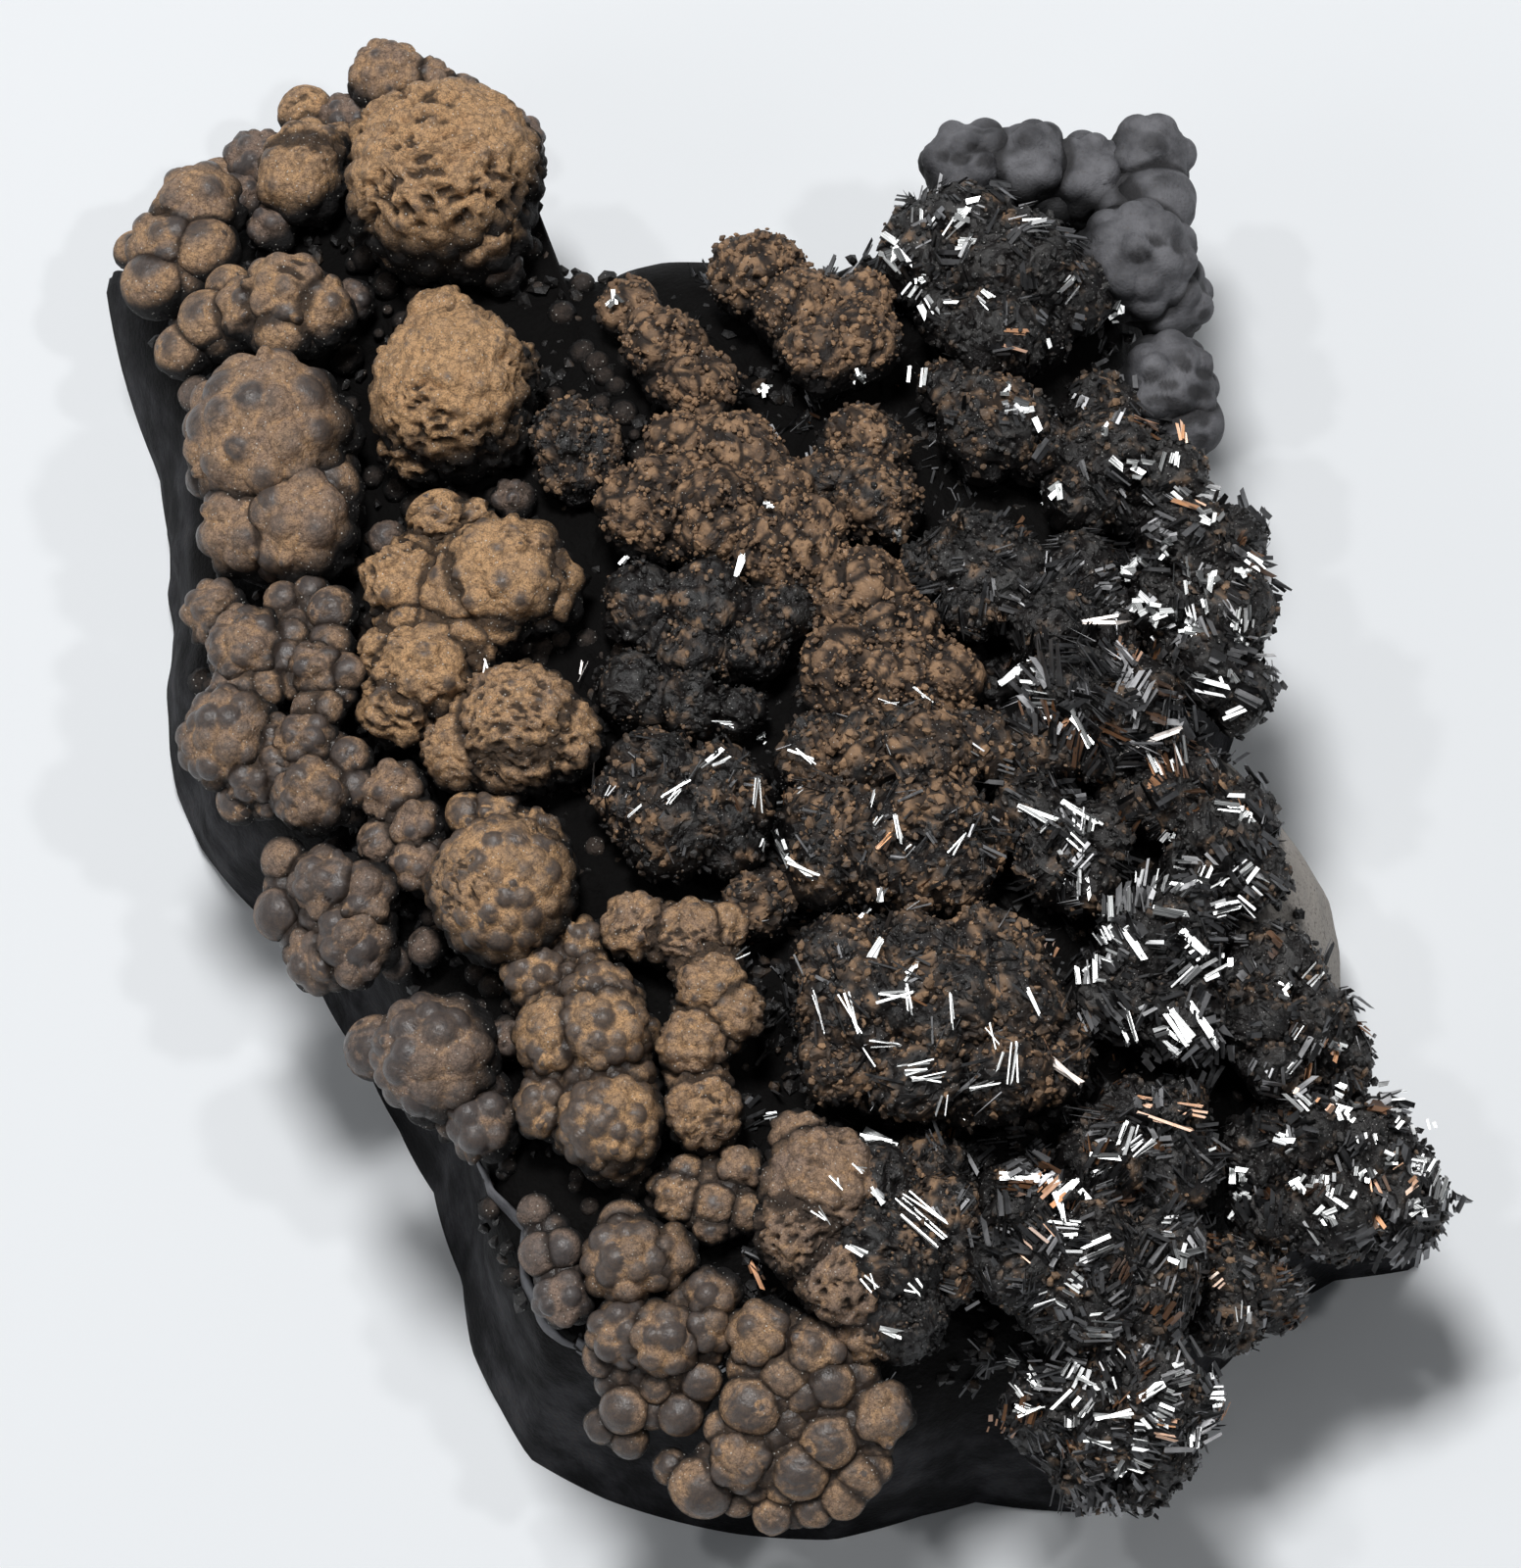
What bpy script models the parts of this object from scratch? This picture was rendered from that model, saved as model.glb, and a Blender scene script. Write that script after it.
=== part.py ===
"""Pyrolusite with romanechite: a specimen lying on the flat cut back of its matrix.

The matrix is a low domed slab with steep walls.  Lobed clumps of romanechite cover its
left half, bladed clusters of pyrolusite its right half, and each clump or cluster is a
body of its own that stands 0.3 mm clear of the matrix and of its neighbours.

Places are measured in millimetres on a plane that leans 20 degrees back from the table:
"across" runs to the right, "up" runs up the plane.  They are turned into x, y and z with
the height of each point above the table.
"""

import math

import bmesh
import bpy
import numpy as np
from mathutils import Matrix, Vector

OBJECT_NAME = "pyrolusite_with_romanechite"

MM = 0.001
GAP = 0.3                      # clearance between touching bodies
FACE_LEAN = math.radians(20.0)
FACE_HEIGHT = 14.0             # height of the measuring plane above the table
MID_ACROSS = 1.34              # measured place that becomes x = 0
MID_UP = 1.243                 # plan distance that becomes y = 0

DOME_HEIGHT = 19.0             # top of the matrix above the table
DOME_TOP = (2.5, -5.1)         # where it is highest, across and up
DOME_FALL = (0.0062, 0.0036)   # how fast it falls away, across and along
SHOULDER = 13.0                # the higher, the squarer the edge of the slab
HUB = (-3.8, 0.6)              # middle of the polar outline, across and up

FLUTES = 11                    # shallow flutes round the wall
FLUTE_DEPTH = 0.018
BAY_ANGLE = math.radians(-122.0)   # where the wall is hollowed under its rim
BAY_WIDTH = math.radians(32.0)
BAY_DEPTH = 0.06

STEEPEST_FOOT = 0.55           # steepest slope that a clump's foot takes up
FOOT_TO_HEART = 1.5            # guess at a clump's height, used to find its place
LUMP_RISE = 0.28               # how far a clump bulges, against its own reach
LOBE_SEAT = 0.35               # height of a lobe's centre, against its radius
HEART_RISE = 0.42              # height of a clump's heart, against its lobes' height
STEM_WIDTH = 0.90              # width of the stem under a lobe, against the lobe
CORE_WIDTH = 0.36              # half-width of a clump's core, against its reach
FILL_WIDTH = 0.86              # width of the fill between two lobes, against the smaller
FILL_SINK = 0.30               # how far that fill lies below them
FILL_REACH = 1.5               # widest spacing that is filled, against both radii
PARTED_BELOW = 4.0             # clumps further apart than this need no wall
CRUST_SWELL = 1.34             # swelling of the rough clumps until they meet
ROUGHNESS = 0.06               # depth of the facets on a rough clump
FACES_PER_CLUMP = 58           # triangles that a clump keeps, and those for each lobe
FACES_PER_LOBE = 10.5

CRYSTAL_WIDTH = 0.75
CRYSTAL_THICKNESS = 0.42
CRYSTAL_ROOT = 1.3             # length of a crystal that is buried in its cluster
CRYSTAL_REACH = 1.35           # length that stands out of it
GOLDEN_TURN = 2.399963         # angle between one crystal and the next

# Edge of the slab: across, up, and the height at which it was measured.
OUTLINE = [
    (-34.3, 26.5, 0), (-33.3, 21.5, 0), (-31.3, 16.0, 0), (-30.6, 12.0, 0), (-30.3, 7.5, 0),
    (-30.2, -0.5, 0), (-28.8, -3.5, 0), (-25.3, -7.3, 0), (-22.8, -10.5, 0), (-20.3, -14.5, 0),
    (-18.6, -17.8, 0), (-16.8, -21.0, 0), (-15.3, -25.5, 0), (-14.8, -29.0, 0),
    (-13.3, -32.0, 0), (-11.8, -34.5, 0), (-7.8, -36.6, 0), (-1.3, -38.3, 0), (3.7, -38.6, 0),
    (8.2, -37.4, 0), (11.0, -36.7, 0), (16.0, -37.2, 0), (19.8, -35.0, 6), (21.8, -31.0, 6),
    (23.2, -28.3, 6), (26.0, -25.2, 6), (29.5, -23.4, 6), (33.8, -22.8, 6), (34.2, -20.4, 6),
    (32.3, -16.5, 6), (30.4, -12.5, 6), (29.8, -8.5, 6), (28.7, -5.0, 6), (27.0, -2.0, 6),
    (24.9, 0.0, 6), (23.8, 2.5, 6), (24.9, 6.0, 7), (25.0, 10.0, 8), (24.2, 14.0, 8),
    (22.6, 16.5, 8), (22.2, 20.0, 8), (21.6, 23.0, 8), (21.6, 26.0, 8), (21.0, 30.0, 8),
    (20.2, 33.2, 8), (16.2, 32.8, 8), (12.0, 33.0, 8), (9.2, 32.0, 8), (7.0, 28.2, 8),
    (4.0, 27.0, 8), (-2.0, 27.0, 8), (-8.0, 26.9, 8), (-11.2, 27.8, 8), (-12.3, 30.5, 8),
    (-12.9, 33.8, 8), (-15.2, 36.0, 8), (-19.0, 37.8, 8), (-22.5, 35.6, 8), (-26.5, 33.2, 8),
    (-30.3, 30.2, 7), (-32.8, 27.8, 5),
]

# Hollows in the top of the slab: across, up, radius, depth.
HOLLOWS = [
    (12.0, -33.6, 3.6, 9.0), (-20.0, 22.0, 2.2, 1.5), (-17.0, -9.5, 2.4, 1.8),
    (8.5, 20.5, 2.0, 1.5), (0.8, -15.0, 1.8, 1.5),
]

# Lobes of the smooth romanechite clumps: across, up, radius.
ROMANECHITE = {
    "romanechite_cluster_01": [
        (-19.3, 36.5, 1.9), (-17.2, 36.3, 1.3), (-15.4, 35.8, 1.0)],
    "romanechite_cluster_02": [
        (-16.2, 31.0, 4.5), (-18.5, 33.0, 2.4), (-17.7, 27.8, 1.8), (-14.6, 28.6, 2.6),
        (-13.9, 32.4, 2.4)],
    "romanechite_cluster_03": [
        (-23.6, 32.5, 2.1), (-23.6, 31.1, 2.0), (-23.4, 35.0, 1.25), (-26.0, 33.0, 0.9)],
    "romanechite_cluster_04": [
        (-29.2, 29.5, 2.1), (-31.0, 28.6, 1.3), (-28.9, 27.1, 1.2), (-31.2, 25.6, 1.5),
        (-32.6, 27.4, 0.9), (-28.1, 31.2, 0.9)],
    "romanechite_cluster_05": [
        (-24.3, 25.1, 2.0), (-22.8, 24.2, 1.6), (-26.2, 24.7, 1.3), (-24.6, 23.4, 1.2),
        (-28.6, 23.8, 1.4), (-29.8, 22.3, 1.2), (-27.4, 25.4, 0.9)],
    "romanechite_cluster_06": [
        (-25.1, 17.7, 3.9), (-27.3, 16.4, 2.0), (-22.9, 17.6, 2.2), (-26.0, 13.0, 2.5),
        (-23.3, 13.1, 2.6), (-22.1, 15.0, 1.6)],
    "romanechite_cluster_07": [
        (-15.7, 20.0, 3.8), (-17.2, 17.7, 2.2), (-14.0, 18.3, 2.1), (-16.4, 23.5, 1.8),
        (-13.0, 20.8, 1.8)],
    "romanechite_cluster_08": [
        (-13.0, 10.5, 2.9), (-14.9, 9.6, 2.1), (-11.2, 10.0, 2.1), (-13.3, 8.6, 1.7),
        (-18.2, 10.2, 1.9), (-17.1, 5.6, 2.3), (-18.2, 3.9, 2.0), (-18.9, 6.6, 1.4),
        (-16.4, 13.4, 1.5), (-14.6, 13.5, 1.0)],
    "romanechite_cluster_09": [
        (-12.2, 3.0, 2.8), (-15.2, 1.6, 1.8), (-10.3, 2.3, 2.1), (-14.3, 3.8, 1.6),
        (-12.3, 1.8, 2.3)],
    "romanechite_cluster_10": [
        (-27.8, 8.8, 1.5), (-24.3, 9.3, 1.0), (-22.9, 9.7, 0.9), (-21.8, 8.8, 1.2),
        (-26.0, 6.9, 1.9), (-23.8, 7.5, 0.9), (-22.5, 5.7, 1.3), (-21.0, 5.6, 1.0),
        (-25.1, 4.9, 1.0), (-27.0, 2.3, 2.3), (-25.6, 0.3, 1.4), (-26.5, -0.9, 1.1),
        (-23.0, 2.2, 1.4), (-22.6, -0.6, 1.8), (-20.8, 1.3, 1.0), (-20.6, -0.2, 1.0),
        (-24.9, -0.9, 0.8), (-22.0, 3.8, 0.9)],
    "romanechite_cluster_11": [
        (-17.5, -2.1, 1.3), (-17.3, -4.2, 1.3), (-19.3, -3.0, 1.1), (-18.6, -0.4, 1.5)],
    "romanechite_cluster_12": [
        (-13.0, -5.4, 3.4), (-14.8, -1.6, 1.1), (-13.3, -1.6, 1.2), (-11.2, -2.9, 1.4),
        (-10.4, -4.2, 1.1), (-12.5, -7.0, 2.1), (-15.0, -5.3, 1.9)],
    "romanechite_cluster_13": [
        (-24.2, -3.9, 1.1), (-22.0, -5.2, 1.7), (-20.0, -5.7, 1.5), (-24.4, -6.6, 1.2),
        (-20.5, -8.1, 1.9), (-22.3, -8.8, 1.6)],
    "romanechite_cluster_14": [
        (-16.4, -13.8, 2.9), (-19.4, -13.4, 1.5), (-16.4, -15.5, 1.7), (-14.7, -14.1, 1.5),
        (-14.0, -17.2, 1.7)],
    "romanechite_cluster_15": [
        (-8.0, -11.0, 1.9), (-10.1, -12.9, 2.0), (-8.0, -12.6, 2.3), (-6.7, -12.8, 1.5),
        (-7.6, -17.0, 2.4), (-10.8, -16.3, 1.5), (-7.3, -18.2, 1.8), (-11.3, -9.8, 1.5),
        (-9.0, -8.0, 1.2)],
    "romanechite_cluster_16": [
        (-6.3, -7.3, 1.6), (-3.6, -7.7, 1.6), (-2.0, -7.4, 1.2), (-2.5, -10.3, 1.6),
        (-3.3, -13.1, 1.6), (-1.4, -11.4, 1.5), (-2.9, -16.6, 1.8)],
    "romanechite_cluster_17": [
        (-4.1, -20.8, 1.2), (-2.3, -21.2, 1.1), (-3.7, -19.6, 0.9), (-5.0, -20.3, 0.7),
        (-2.5, -22.3, 0.9), (-1.1, -19.4, 1.2), (-0.7, -21.6, 1.0)],
    "romanechite_cluster_18": [
        (-6.6, -24.0, 2.1), (-4.8, -23.8, 1.5), (-6.9, -22.3, 1.2), (-7.7, -24.0, 1.1)],
    "romanechite_cluster_19": [
        (-6.9, -27.6, 1.6), (-5.0, -27.9, 1.7), (-2.5, -25.8, 1.4), (-2.8, -27.3, 1.3),
        (-7.9, -28.8, 1.0), (-5.2, -30.2, 0.9), (-3.0, -30.0, 1.0), (-6.8, -31.4, 1.2),
        (-4.0, -31.6, 1.1), (-7.9, -32.3, 0.9), (-6.6, -33.0, 0.9)],
    "romanechite_cluster_20": [
        (0.1, -27.7, 1.7), (2.7, -28.5, 1.6), (4.1, -28.7, 1.0), (3.5, -30.1, 1.3),
        (1.3, -29.6, 1.3), (2.2, -30.7, 1.1), (-0.4, -31.2, 1.5), (0.8, -30.9, 1.0),
        (1.3, -32.0, 0.8), (-1.9, -32.4, 0.9), (-1.0, -33.9, 1.6), (3.4, -33.0, 1.4),
        (2.1, -34.5, 1.4), (4.9, -34.8, 1.2), (4.1, -35.7, 1.2), (1.2, -35.4, 0.9),
        (6.0, -31.6, 1.6), (5.6, -34.3, 1.0), (-4.5, -34.4, 0.9), (-2.9, -35.3, 1.5),
        (2.6, -36.4, 1.0), (0.7, -36.7, 1.0)],
    "romanechite_cluster_21": [
        (-11.3, -21.6, 0.9), (-11.0, -23.7, 1.1), (-9.9, -25.9, 1.4), (-9.9, -23.4, 1.0)],
    "romanechite_cluster_22": [
        (2.0, -17.9, 1.4), (3.4, -20.4, 3.0), (2.5, -22.4, 2.5), (4.8, -24.4, 2.7),
        (6.6, -26.8, 2.1)],
    "romanechite_knobs_01": [
        (10.8, 31.8, 2.1), (13.8, 31.9, 2.0), (16.8, 31.3, 1.9)],
    "romanechite_knobs_02": [
        (20.0, 32.2, 1.9), (20.3, 29.9, 1.7), (19.2, 26.8, 2.6), (21.0, 25.0, 1.9)],
    "romanechite_knobs_03": [
        (20.9, 20.4, 2.2), (21.8, 18.4, 1.6)],
}

# Lobes of the rough romanechite clumps along the middle: across, up, radius.
ROUGH_ROMANECHITE = {
    "romanechite_cluster_23": [
        (-5.0, 22.4, 1.8), (-6.6, 24.3, 1.3), (-3.2, 20.0, 1.7)],
    "romanechite_cluster_24": [
        (0.0, 25.8, 2.2), (1.6, 24.4, 1.8), (3.2, 22.0, 1.6), (5.2, 22.6, 1.9),
        (5.4, 24.8, 1.3)],
    "romanechite_cluster_25": [
        (-4.0, 17.4, 1.6), (-1.0, 16.6, 2.0), (-5.6, 14.0, 2.3), (-2.2, 13.6, 2.3),
        (2.1, 12.2, 2.2), (0.2, 11.8, 1.9), (0.8, 14.4, 1.7)],
    "romanechite_cluster_26": [
        (-6.0, 8.8, 1.7), (-2.6, 8.9, 2.0), (1.0, 8.4, 1.6), (-3.6, 6.8, 1.6),
        (-0.4, 6.8, 1.5)],
    "romanechite_cluster_27": [
        (-6.6, 5.0, 1.6), (-3.4, 4.0, 1.5), (-1.2, 3.7, 1.3)],
    "romanechite_cluster_28": [
        (-9.3, 17.3, 2.0), (-9.6, 15.9, 1.4)],
    "romanechite_cluster_29": [
        (5.3, 17.0, 1.9), (5.8, 14.3, 2.1), (3.7, 15.2, 1.5)],
    "romanechite_cluster_30": [
        (5.2, 9.4, 2.2), (6.8, 7.4, 2.0), (4.2, 5.6, 2.0), (6.8, 5.2, 2.0),
        (9.0, 5.0, 2.0)],
}

# Lobes of the pyrolusite clusters: across, up, radius.
PYROLUSITE = {
    "pyrolusite_cluster_01": [
        (8.2, 1.4, 2.4), (5.3, 1.5, 1.9), (2.9, 1.4, 1.8), (10.6, 1.9, 1.8)],
    "pyrolusite_cluster_02": [
        (-5.4, 0.2, 2.0), (-4.5, -2.2, 2.3), (-2.2, -0.8, 2.4), (-6.6, -1.2, 1.6),
        (-1.9, -2.9, 1.6)],
    "pyrolusite_cluster_03": [
        (3.5, -1.9, 2.1), (3.4, -3.8, 2.0), (8.6, -2.2, 2.5), (9.0, -4.4, 2.3),
        (6.0, -3.8, 2.1), (11.0, -3.0, 1.7)],
    "pyrolusite_cluster_04": [
        (-0.3, -6.2, 1.4), (0.6, -5.6, 1.1)],
    "pyrolusite_cluster_05": [
        (4.0, -8.9, 2.0), (8.0, -9.0, 2.2), (11.6, -8.7, 2.2), (5.0, -11.4, 2.6),
        (9.0, -11.5, 2.8), (12.6, -11.4, 2.5), (4.2, -14.0, 2.0), (8.0, -14.5, 2.3),
        (12.0, -14.4, 2.4), (14.6, -13.9, 1.8)],
    "pyrolusite_cluster_06": [
        (10.4, 28.0, 2.5), (13.2, 26.0, 2.9), (12.2, 23.2, 2.4), (15.4, 25.0, 2.2),
        (8.4, 27.0, 2.0), (9.6, 24.0, 1.5)],
    "pyrolusite_cluster_07": [
        (12.0, 18.2, 2.4), (9.6, 20.2, 1.3), (13.6, 17.2, 1.6)],
    "pyrolusite_cluster_08": [
        (17.6, 16.6, 2.2), (20.4, 15.2, 2.1), (16.4, 14.6, 1.6), (17.4, 19.0, 1.7)],
    "pyrolusite_cluster_09": [
        (10.8, 11.2, 2.4), (9.0, 10.6, 1.7), (12.6, 10.2, 2.2), (10.8, 8.8, 1.7)],
    "pyrolusite_cluster_10": [
        (16.0, 10.2, 2.1), (14.9, 7.9, 2.2), (17.3, 8.2, 1.8)],
    "pyrolusite_cluster_11": [
        (21.6, 12.0, 2.2), (23.4, 9.2, 2.3), (23.8, 12.0, 1.8), (20.4, 9.2, 1.7),
        (22.4, 6.2, 1.9), (24.0, 4.6, 1.7)],
    "pyrolusite_cluster_12": [
        (16.0, 4.2, 2.4), (18.4, 3.9, 2.4), (14.6, 2.2, 1.9), (17.2, 1.9, 1.8),
        (19.8, 2.6, 1.5)],
    "pyrolusite_cluster_13": [
        (20.2, -0.9, 1.7), (18.2, -1.0, 1.2), (22.0, -0.2, 1.3)],
    "pyrolusite_cluster_14": [
        (13.6, -1.4, 1.6), (14.8, -3.8, 1.9), (16.2, -4.8, 1.6), (16.8, -2.8, 1.5)],
    "pyrolusite_cluster_15": [
        (20.0, -8.2, 2.5), (18.4, -10.9, 2.0), (21.0, -11.6, 2.3), (21.4, -7.6, 1.9)],
    "pyrolusite_cluster_16": [
        (23.0, -3.0, 1.9), (24.4, -1.8, 1.6), (22.0, -4.0, 1.4), (24.6, -4.8, 1.6)],
    "pyrolusite_cluster_17": [
        (25.9, -9.6, 2.1), (25.2, -12.0, 1.9), (27.6, -12.4, 2.1), (25.8, -14.0, 1.7),
        (29.0, -14.2, 1.7)],
    "pyrolusite_cluster_18": [
        (27.8, -18.0, 2.1), (25.6, -18.8, 2.0), (30.6, -18.4, 2.1), (31.9, -20.6, 2.3),
        (28.6, -21.4, 2.4), (31.4, -22.0, 1.9), (25.8, -21.6, 1.8), (32.9, -21.4, 1.5)],
    "pyrolusite_cluster_19": [
        (20.6, -17.0, 1.8), (18.6, -16.8, 1.5), (20.8, -19.2, 2.1), (17.6, -18.8, 2.0)],
    "pyrolusite_cluster_20": [
        (13.2, -21.2, 2.1), (16.4, -23.4, 2.4), (12.8, -24.2, 2.0), (19.8, -24.0, 2.3),
        (15.6, -26.0, 2.2), (18.8, -26.6, 2.1)],
    "pyrolusite_cluster_21": [
        (23.8, -25.2, 2.1), (25.6, -25.8, 1.7), (23.4, -27.2, 1.6)],
    "pyrolusite_cluster_22": [
        (8.4, -19.2, 1.5), (9.2, -21.8, 1.9), (9.4, -24.4, 1.7)],
    "pyrolusite_cluster_23": [
        (19.6, -30.8, 2.3), (16.4, -30.4, 2.1), (14.4, -31.6, 1.7), (21.4, -31.2, 1.6),
        (17.6, -33.0, 2.2), (20.0, -33.6, 1.7), (16.8, -34.8, 1.6), (19.0, -35.0, 1.6)],
}


def clear_scene():
    """Take out everything that a new file starts with."""
    for obj in list(bpy.data.objects):
        bpy.data.objects.remove(obj, do_unlink=True)
    for group in list(bpy.data.collections):
        bpy.data.collections.remove(group)


def make_material(name, colour, roughness, metallic):
    """One plain shaded material."""
    material = bpy.data.materials.new(name)
    material.use_nodes = True
    shader = material.node_tree.nodes["Principled BSDF"]
    shader.inputs["Base Color"].default_value = colour + (1.0,)
    shader.inputs["Roughness"].default_value = roughness
    shader.inputs["Metallic"].default_value = metallic
    return material


def add_object(name, bm, material, group):
    """Turn a bmesh measured in millimetres into an object measured in metres."""
    bmesh.ops.recalc_face_normals(bm, faces=bm.faces)
    bmesh.ops.scale(bm, vec=(MM, MM, MM), verts=bm.verts)
    mesh = bpy.data.meshes.new(name)
    bm.to_mesh(mesh)
    bm.free()
    mesh.materials.append(material)
    obj = bpy.data.objects.new(name, mesh)
    group.objects.link(obj)
    return obj


def to_plan(across, up, height):
    """Plan place of a point measured on the leaning plane, for its height."""
    x = across - MID_ACROSS
    y = (up - (height - FACE_HEIGHT) * math.sin(FACE_LEAN)) / math.cos(FACE_LEAN) - MID_UP
    return x, y


HUB_X, HUB_Y = to_plan(HUB[0], HUB[1], FACE_HEIGHT)
DOME_X, DOME_Y = to_plan(DOME_TOP[0], DOME_TOP[1], FACE_HEIGHT)


def outline_table():
    """Angles and radii of the slab's edge around the hub, in rising order of angle."""
    points = np.array([to_plan(*row) for row in OUTLINE]) - np.array((HUB_X, HUB_Y))
    angles = np.arctan2(points[:, 1], points[:, 0])
    radii = np.hypot(points[:, 0], points[:, 1])
    order = np.argsort(angles)
    return angles[order], radii[order]


EDGE_ANGLES, EDGE_RADII = outline_table()


def edge_radius(angle):
    """Distance from the hub to the slab's edge."""
    return np.interp(angle, EDGE_ANGLES, EDGE_RADII, period=2.0 * math.pi)


def dome(x, y):
    """Height of the slab's top before its shoulder falls away."""
    fall = DOME_FALL[0] * (x - DOME_X) ** 2 + DOME_FALL[1] * (y - DOME_Y) ** 2
    height = DOME_HEIGHT - fall
    for across, up, radius, depth in HOLLOWS:
        hx, hy = to_plan(across, up, FACE_HEIGHT)
        height = height - depth * np.exp(-((x - hx) ** 2 + (y - hy) ** 2) / radius ** 2)
    return height


def slab_top(x, y):
    """Height of the finished slab over a plan place, zero outside its edge."""
    dx = x - HUB_X
    dy = y - HUB_Y
    share = np.hypot(dx, dy) / edge_radius(np.arctan2(dy, dx))
    rim = np.clip(1.0 - np.clip(share, 0.0, 1.0) ** SHOULDER, 0.0, 1.0) ** (1.0 / 3.0)
    return dome(x, y) * rim


def wall_hollow(angle, rise):
    """How far the wall stands back, against the edge's radius: flutes and a deep bay."""
    turn = math.atan2(math.sin(angle - BAY_ANGLE), math.cos(angle - BAY_ANGLE))
    bay = BAY_DEPTH * math.exp(-(turn / BAY_WIDTH) ** 2)
    flutes = FLUTE_DEPTH * (1.0 + math.sin(FLUTES * angle))
    return (bay + flutes) * math.sin(math.pi * min(1.0, rise * 1.15))


def make_matrix(material, group):
    """A ball whose rows become the flat back, the wall, the shoulder and the dome."""
    base_rows = 4
    shares = [0.997, 0.985, 0.96, 0.92, 0.86, 0.78, 0.68, 0.56, 0.42, 0.28, 0.14, 0.0]
    rows = base_rows + len(shares)
    bm = bmesh.new()
    bmesh.ops.create_uvsphere(bm, u_segments=54, v_segments=rows, radius=1.0)
    for vert in bm.verts:
        angle = math.atan2(vert.co.y, vert.co.x)
        row = round((math.asin(max(-1.0, min(1.0, vert.co.z))) / math.pi + 0.5) * rows)
        reach = float(edge_radius(angle))
        if row <= base_rows:
            share = row / base_rows
            x = HUB_X + reach * share * math.cos(angle)
            y = HUB_Y + reach * share * math.sin(angle)
            vert.co = (x, y, 0.0)
        else:
            share = shares[row - base_rows - 1]
            x = HUB_X + reach * share * math.cos(angle)
            y = HUB_Y + reach * share * math.sin(angle)
            rim = (1.0 - share ** SHOULDER) ** (1.0 / 3.0)
            z = float(dome(x, y)) * rim
            if share > 0.9:
                inward = reach * wall_hollow(angle, z / DOME_HEIGHT)
                x = x - inward * math.cos(angle)
                y = y - inward * math.sin(angle)
            vert.co = (x, y, z)
    return add_object("matrix", bm, material, group)


def foot_plane(lobes):
    """The plane that a clump stands on: unit normal, and its distance from the origin."""
    weights = np.array([row[2] ** 2 for row in lobes])
    across = float(np.dot([row[0] for row in lobes], weights) / weights.sum())
    up = float(np.dot([row[1] for row in lobes], weights) / weights.sum())
    height = DOME_HEIGHT
    for _ in range(12):
        x, y = to_plan(across, up, height)
        height = float(dome(x, y)) + FOOT_TO_HEART
    step = 2.0
    slope_x = float(slab_top(x + step, y) - slab_top(x - step, y)) / (2.0 * step)
    slope_y = float(slab_top(x, y + step) - slab_top(x, y - step)) / (2.0 * step)
    steep = math.hypot(slope_x, slope_y)
    limit = min(1.0, STEEPEST_FOOT / steep) if steep > 0.0 else 1.0
    normal = Vector((-slope_x * limit, -slope_y * limit, 1.0)).normalized()
    highest = -1.0e9
    for a, u, radius in lobes:
        for turn in range(13):
            reach = 0.0 if turn == 12 else radius
            px, py = to_plan(a + reach * math.cos(turn * math.pi / 6.0),
                             u + reach * math.sin(turn * math.pi / 6.0), height)
            pz = float(slab_top(px, py))
            highest = max(highest, normal.dot(Vector((px, py, pz))))
    return np.array(normal), highest + GAP


def fill_body(offsets, radii, normal, core):
    """The lobes with the stems under them and the fill between close pairs."""
    all_offsets = [offsets]
    all_radii = [radii]
    for share in (0.25, 0.5, 0.75):
        all_offsets.append(offsets * share)
        all_radii.append(radii * STEM_WIDTH * share + min(core, 2.0) * (1.0 - share))
    for i in range(len(radii)):
        for j in range(i):
            apart = float(np.linalg.norm(offsets[i] - offsets[j]))
            if apart < FILL_REACH * (radii[i] + radii[j]):
                small = min(radii[i], radii[j])
                middle = 0.5 * (offsets[i] + offsets[j]) - normal * FILL_SINK * small
                all_offsets.append((middle, 0.7 * middle))
                all_radii.append((small * FILL_WIDTH, small * FILL_WIDTH))
    return np.concatenate(all_offsets), np.concatenate(all_radii)


def place_lobes(lobes, swell):
    """Centres and radii of a clump's lobes, the clump's own centre, and its foot plane."""
    lobes = [(across, up, radius * swell) for across, up, radius in lobes]
    normal, level = foot_plane(lobes)
    table = np.array(lobes)
    weights = table[:, 2] ** 2
    middle = (table[:, :2] * weights[:, None]).sum(axis=0) / weights.sum()
    away = np.hypot(table[:, 0] - middle[0], table[:, 1] - middle[1])
    reach = float((away + table[:, 2]).max())
    lift = LUMP_RISE * reach * (1.0 - (away / reach) ** 2) + LOBE_SEAT * table[:, 2]
    centres = []
    for (across, up, radius), rise in zip(lobes, lift):
        height = FACE_HEIGHT
        for _ in range(30):
            x, y = to_plan(across, up, height)
            height = (level + rise - normal[0] * x - normal[1] * y) / normal[2]
        centres.append((x, y, height))
    centres = np.array(centres)
    heart = (centres * weights[:, None]).sum(axis=0) / weights.sum()
    sunk = float(np.dot(heart, normal)) - level
    heart = heart - normal * (sunk - HEART_RISE * min(sunk + 1.0, 4.0))
    tops = (centres - heart) @ normal + table[:, 2]
    depth = max(0.8, 0.75 * float(np.median(tops)))
    return {"centres": centres, "radii": table[:, 2], "heart": heart, "depth": depth,
            "walls": [(-normal, -level)], "normal": normal, "reach": reach,
            "body": fill_body(centres - heart, table[:, 2], normal, CORE_WIDTH * reach)}


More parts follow.
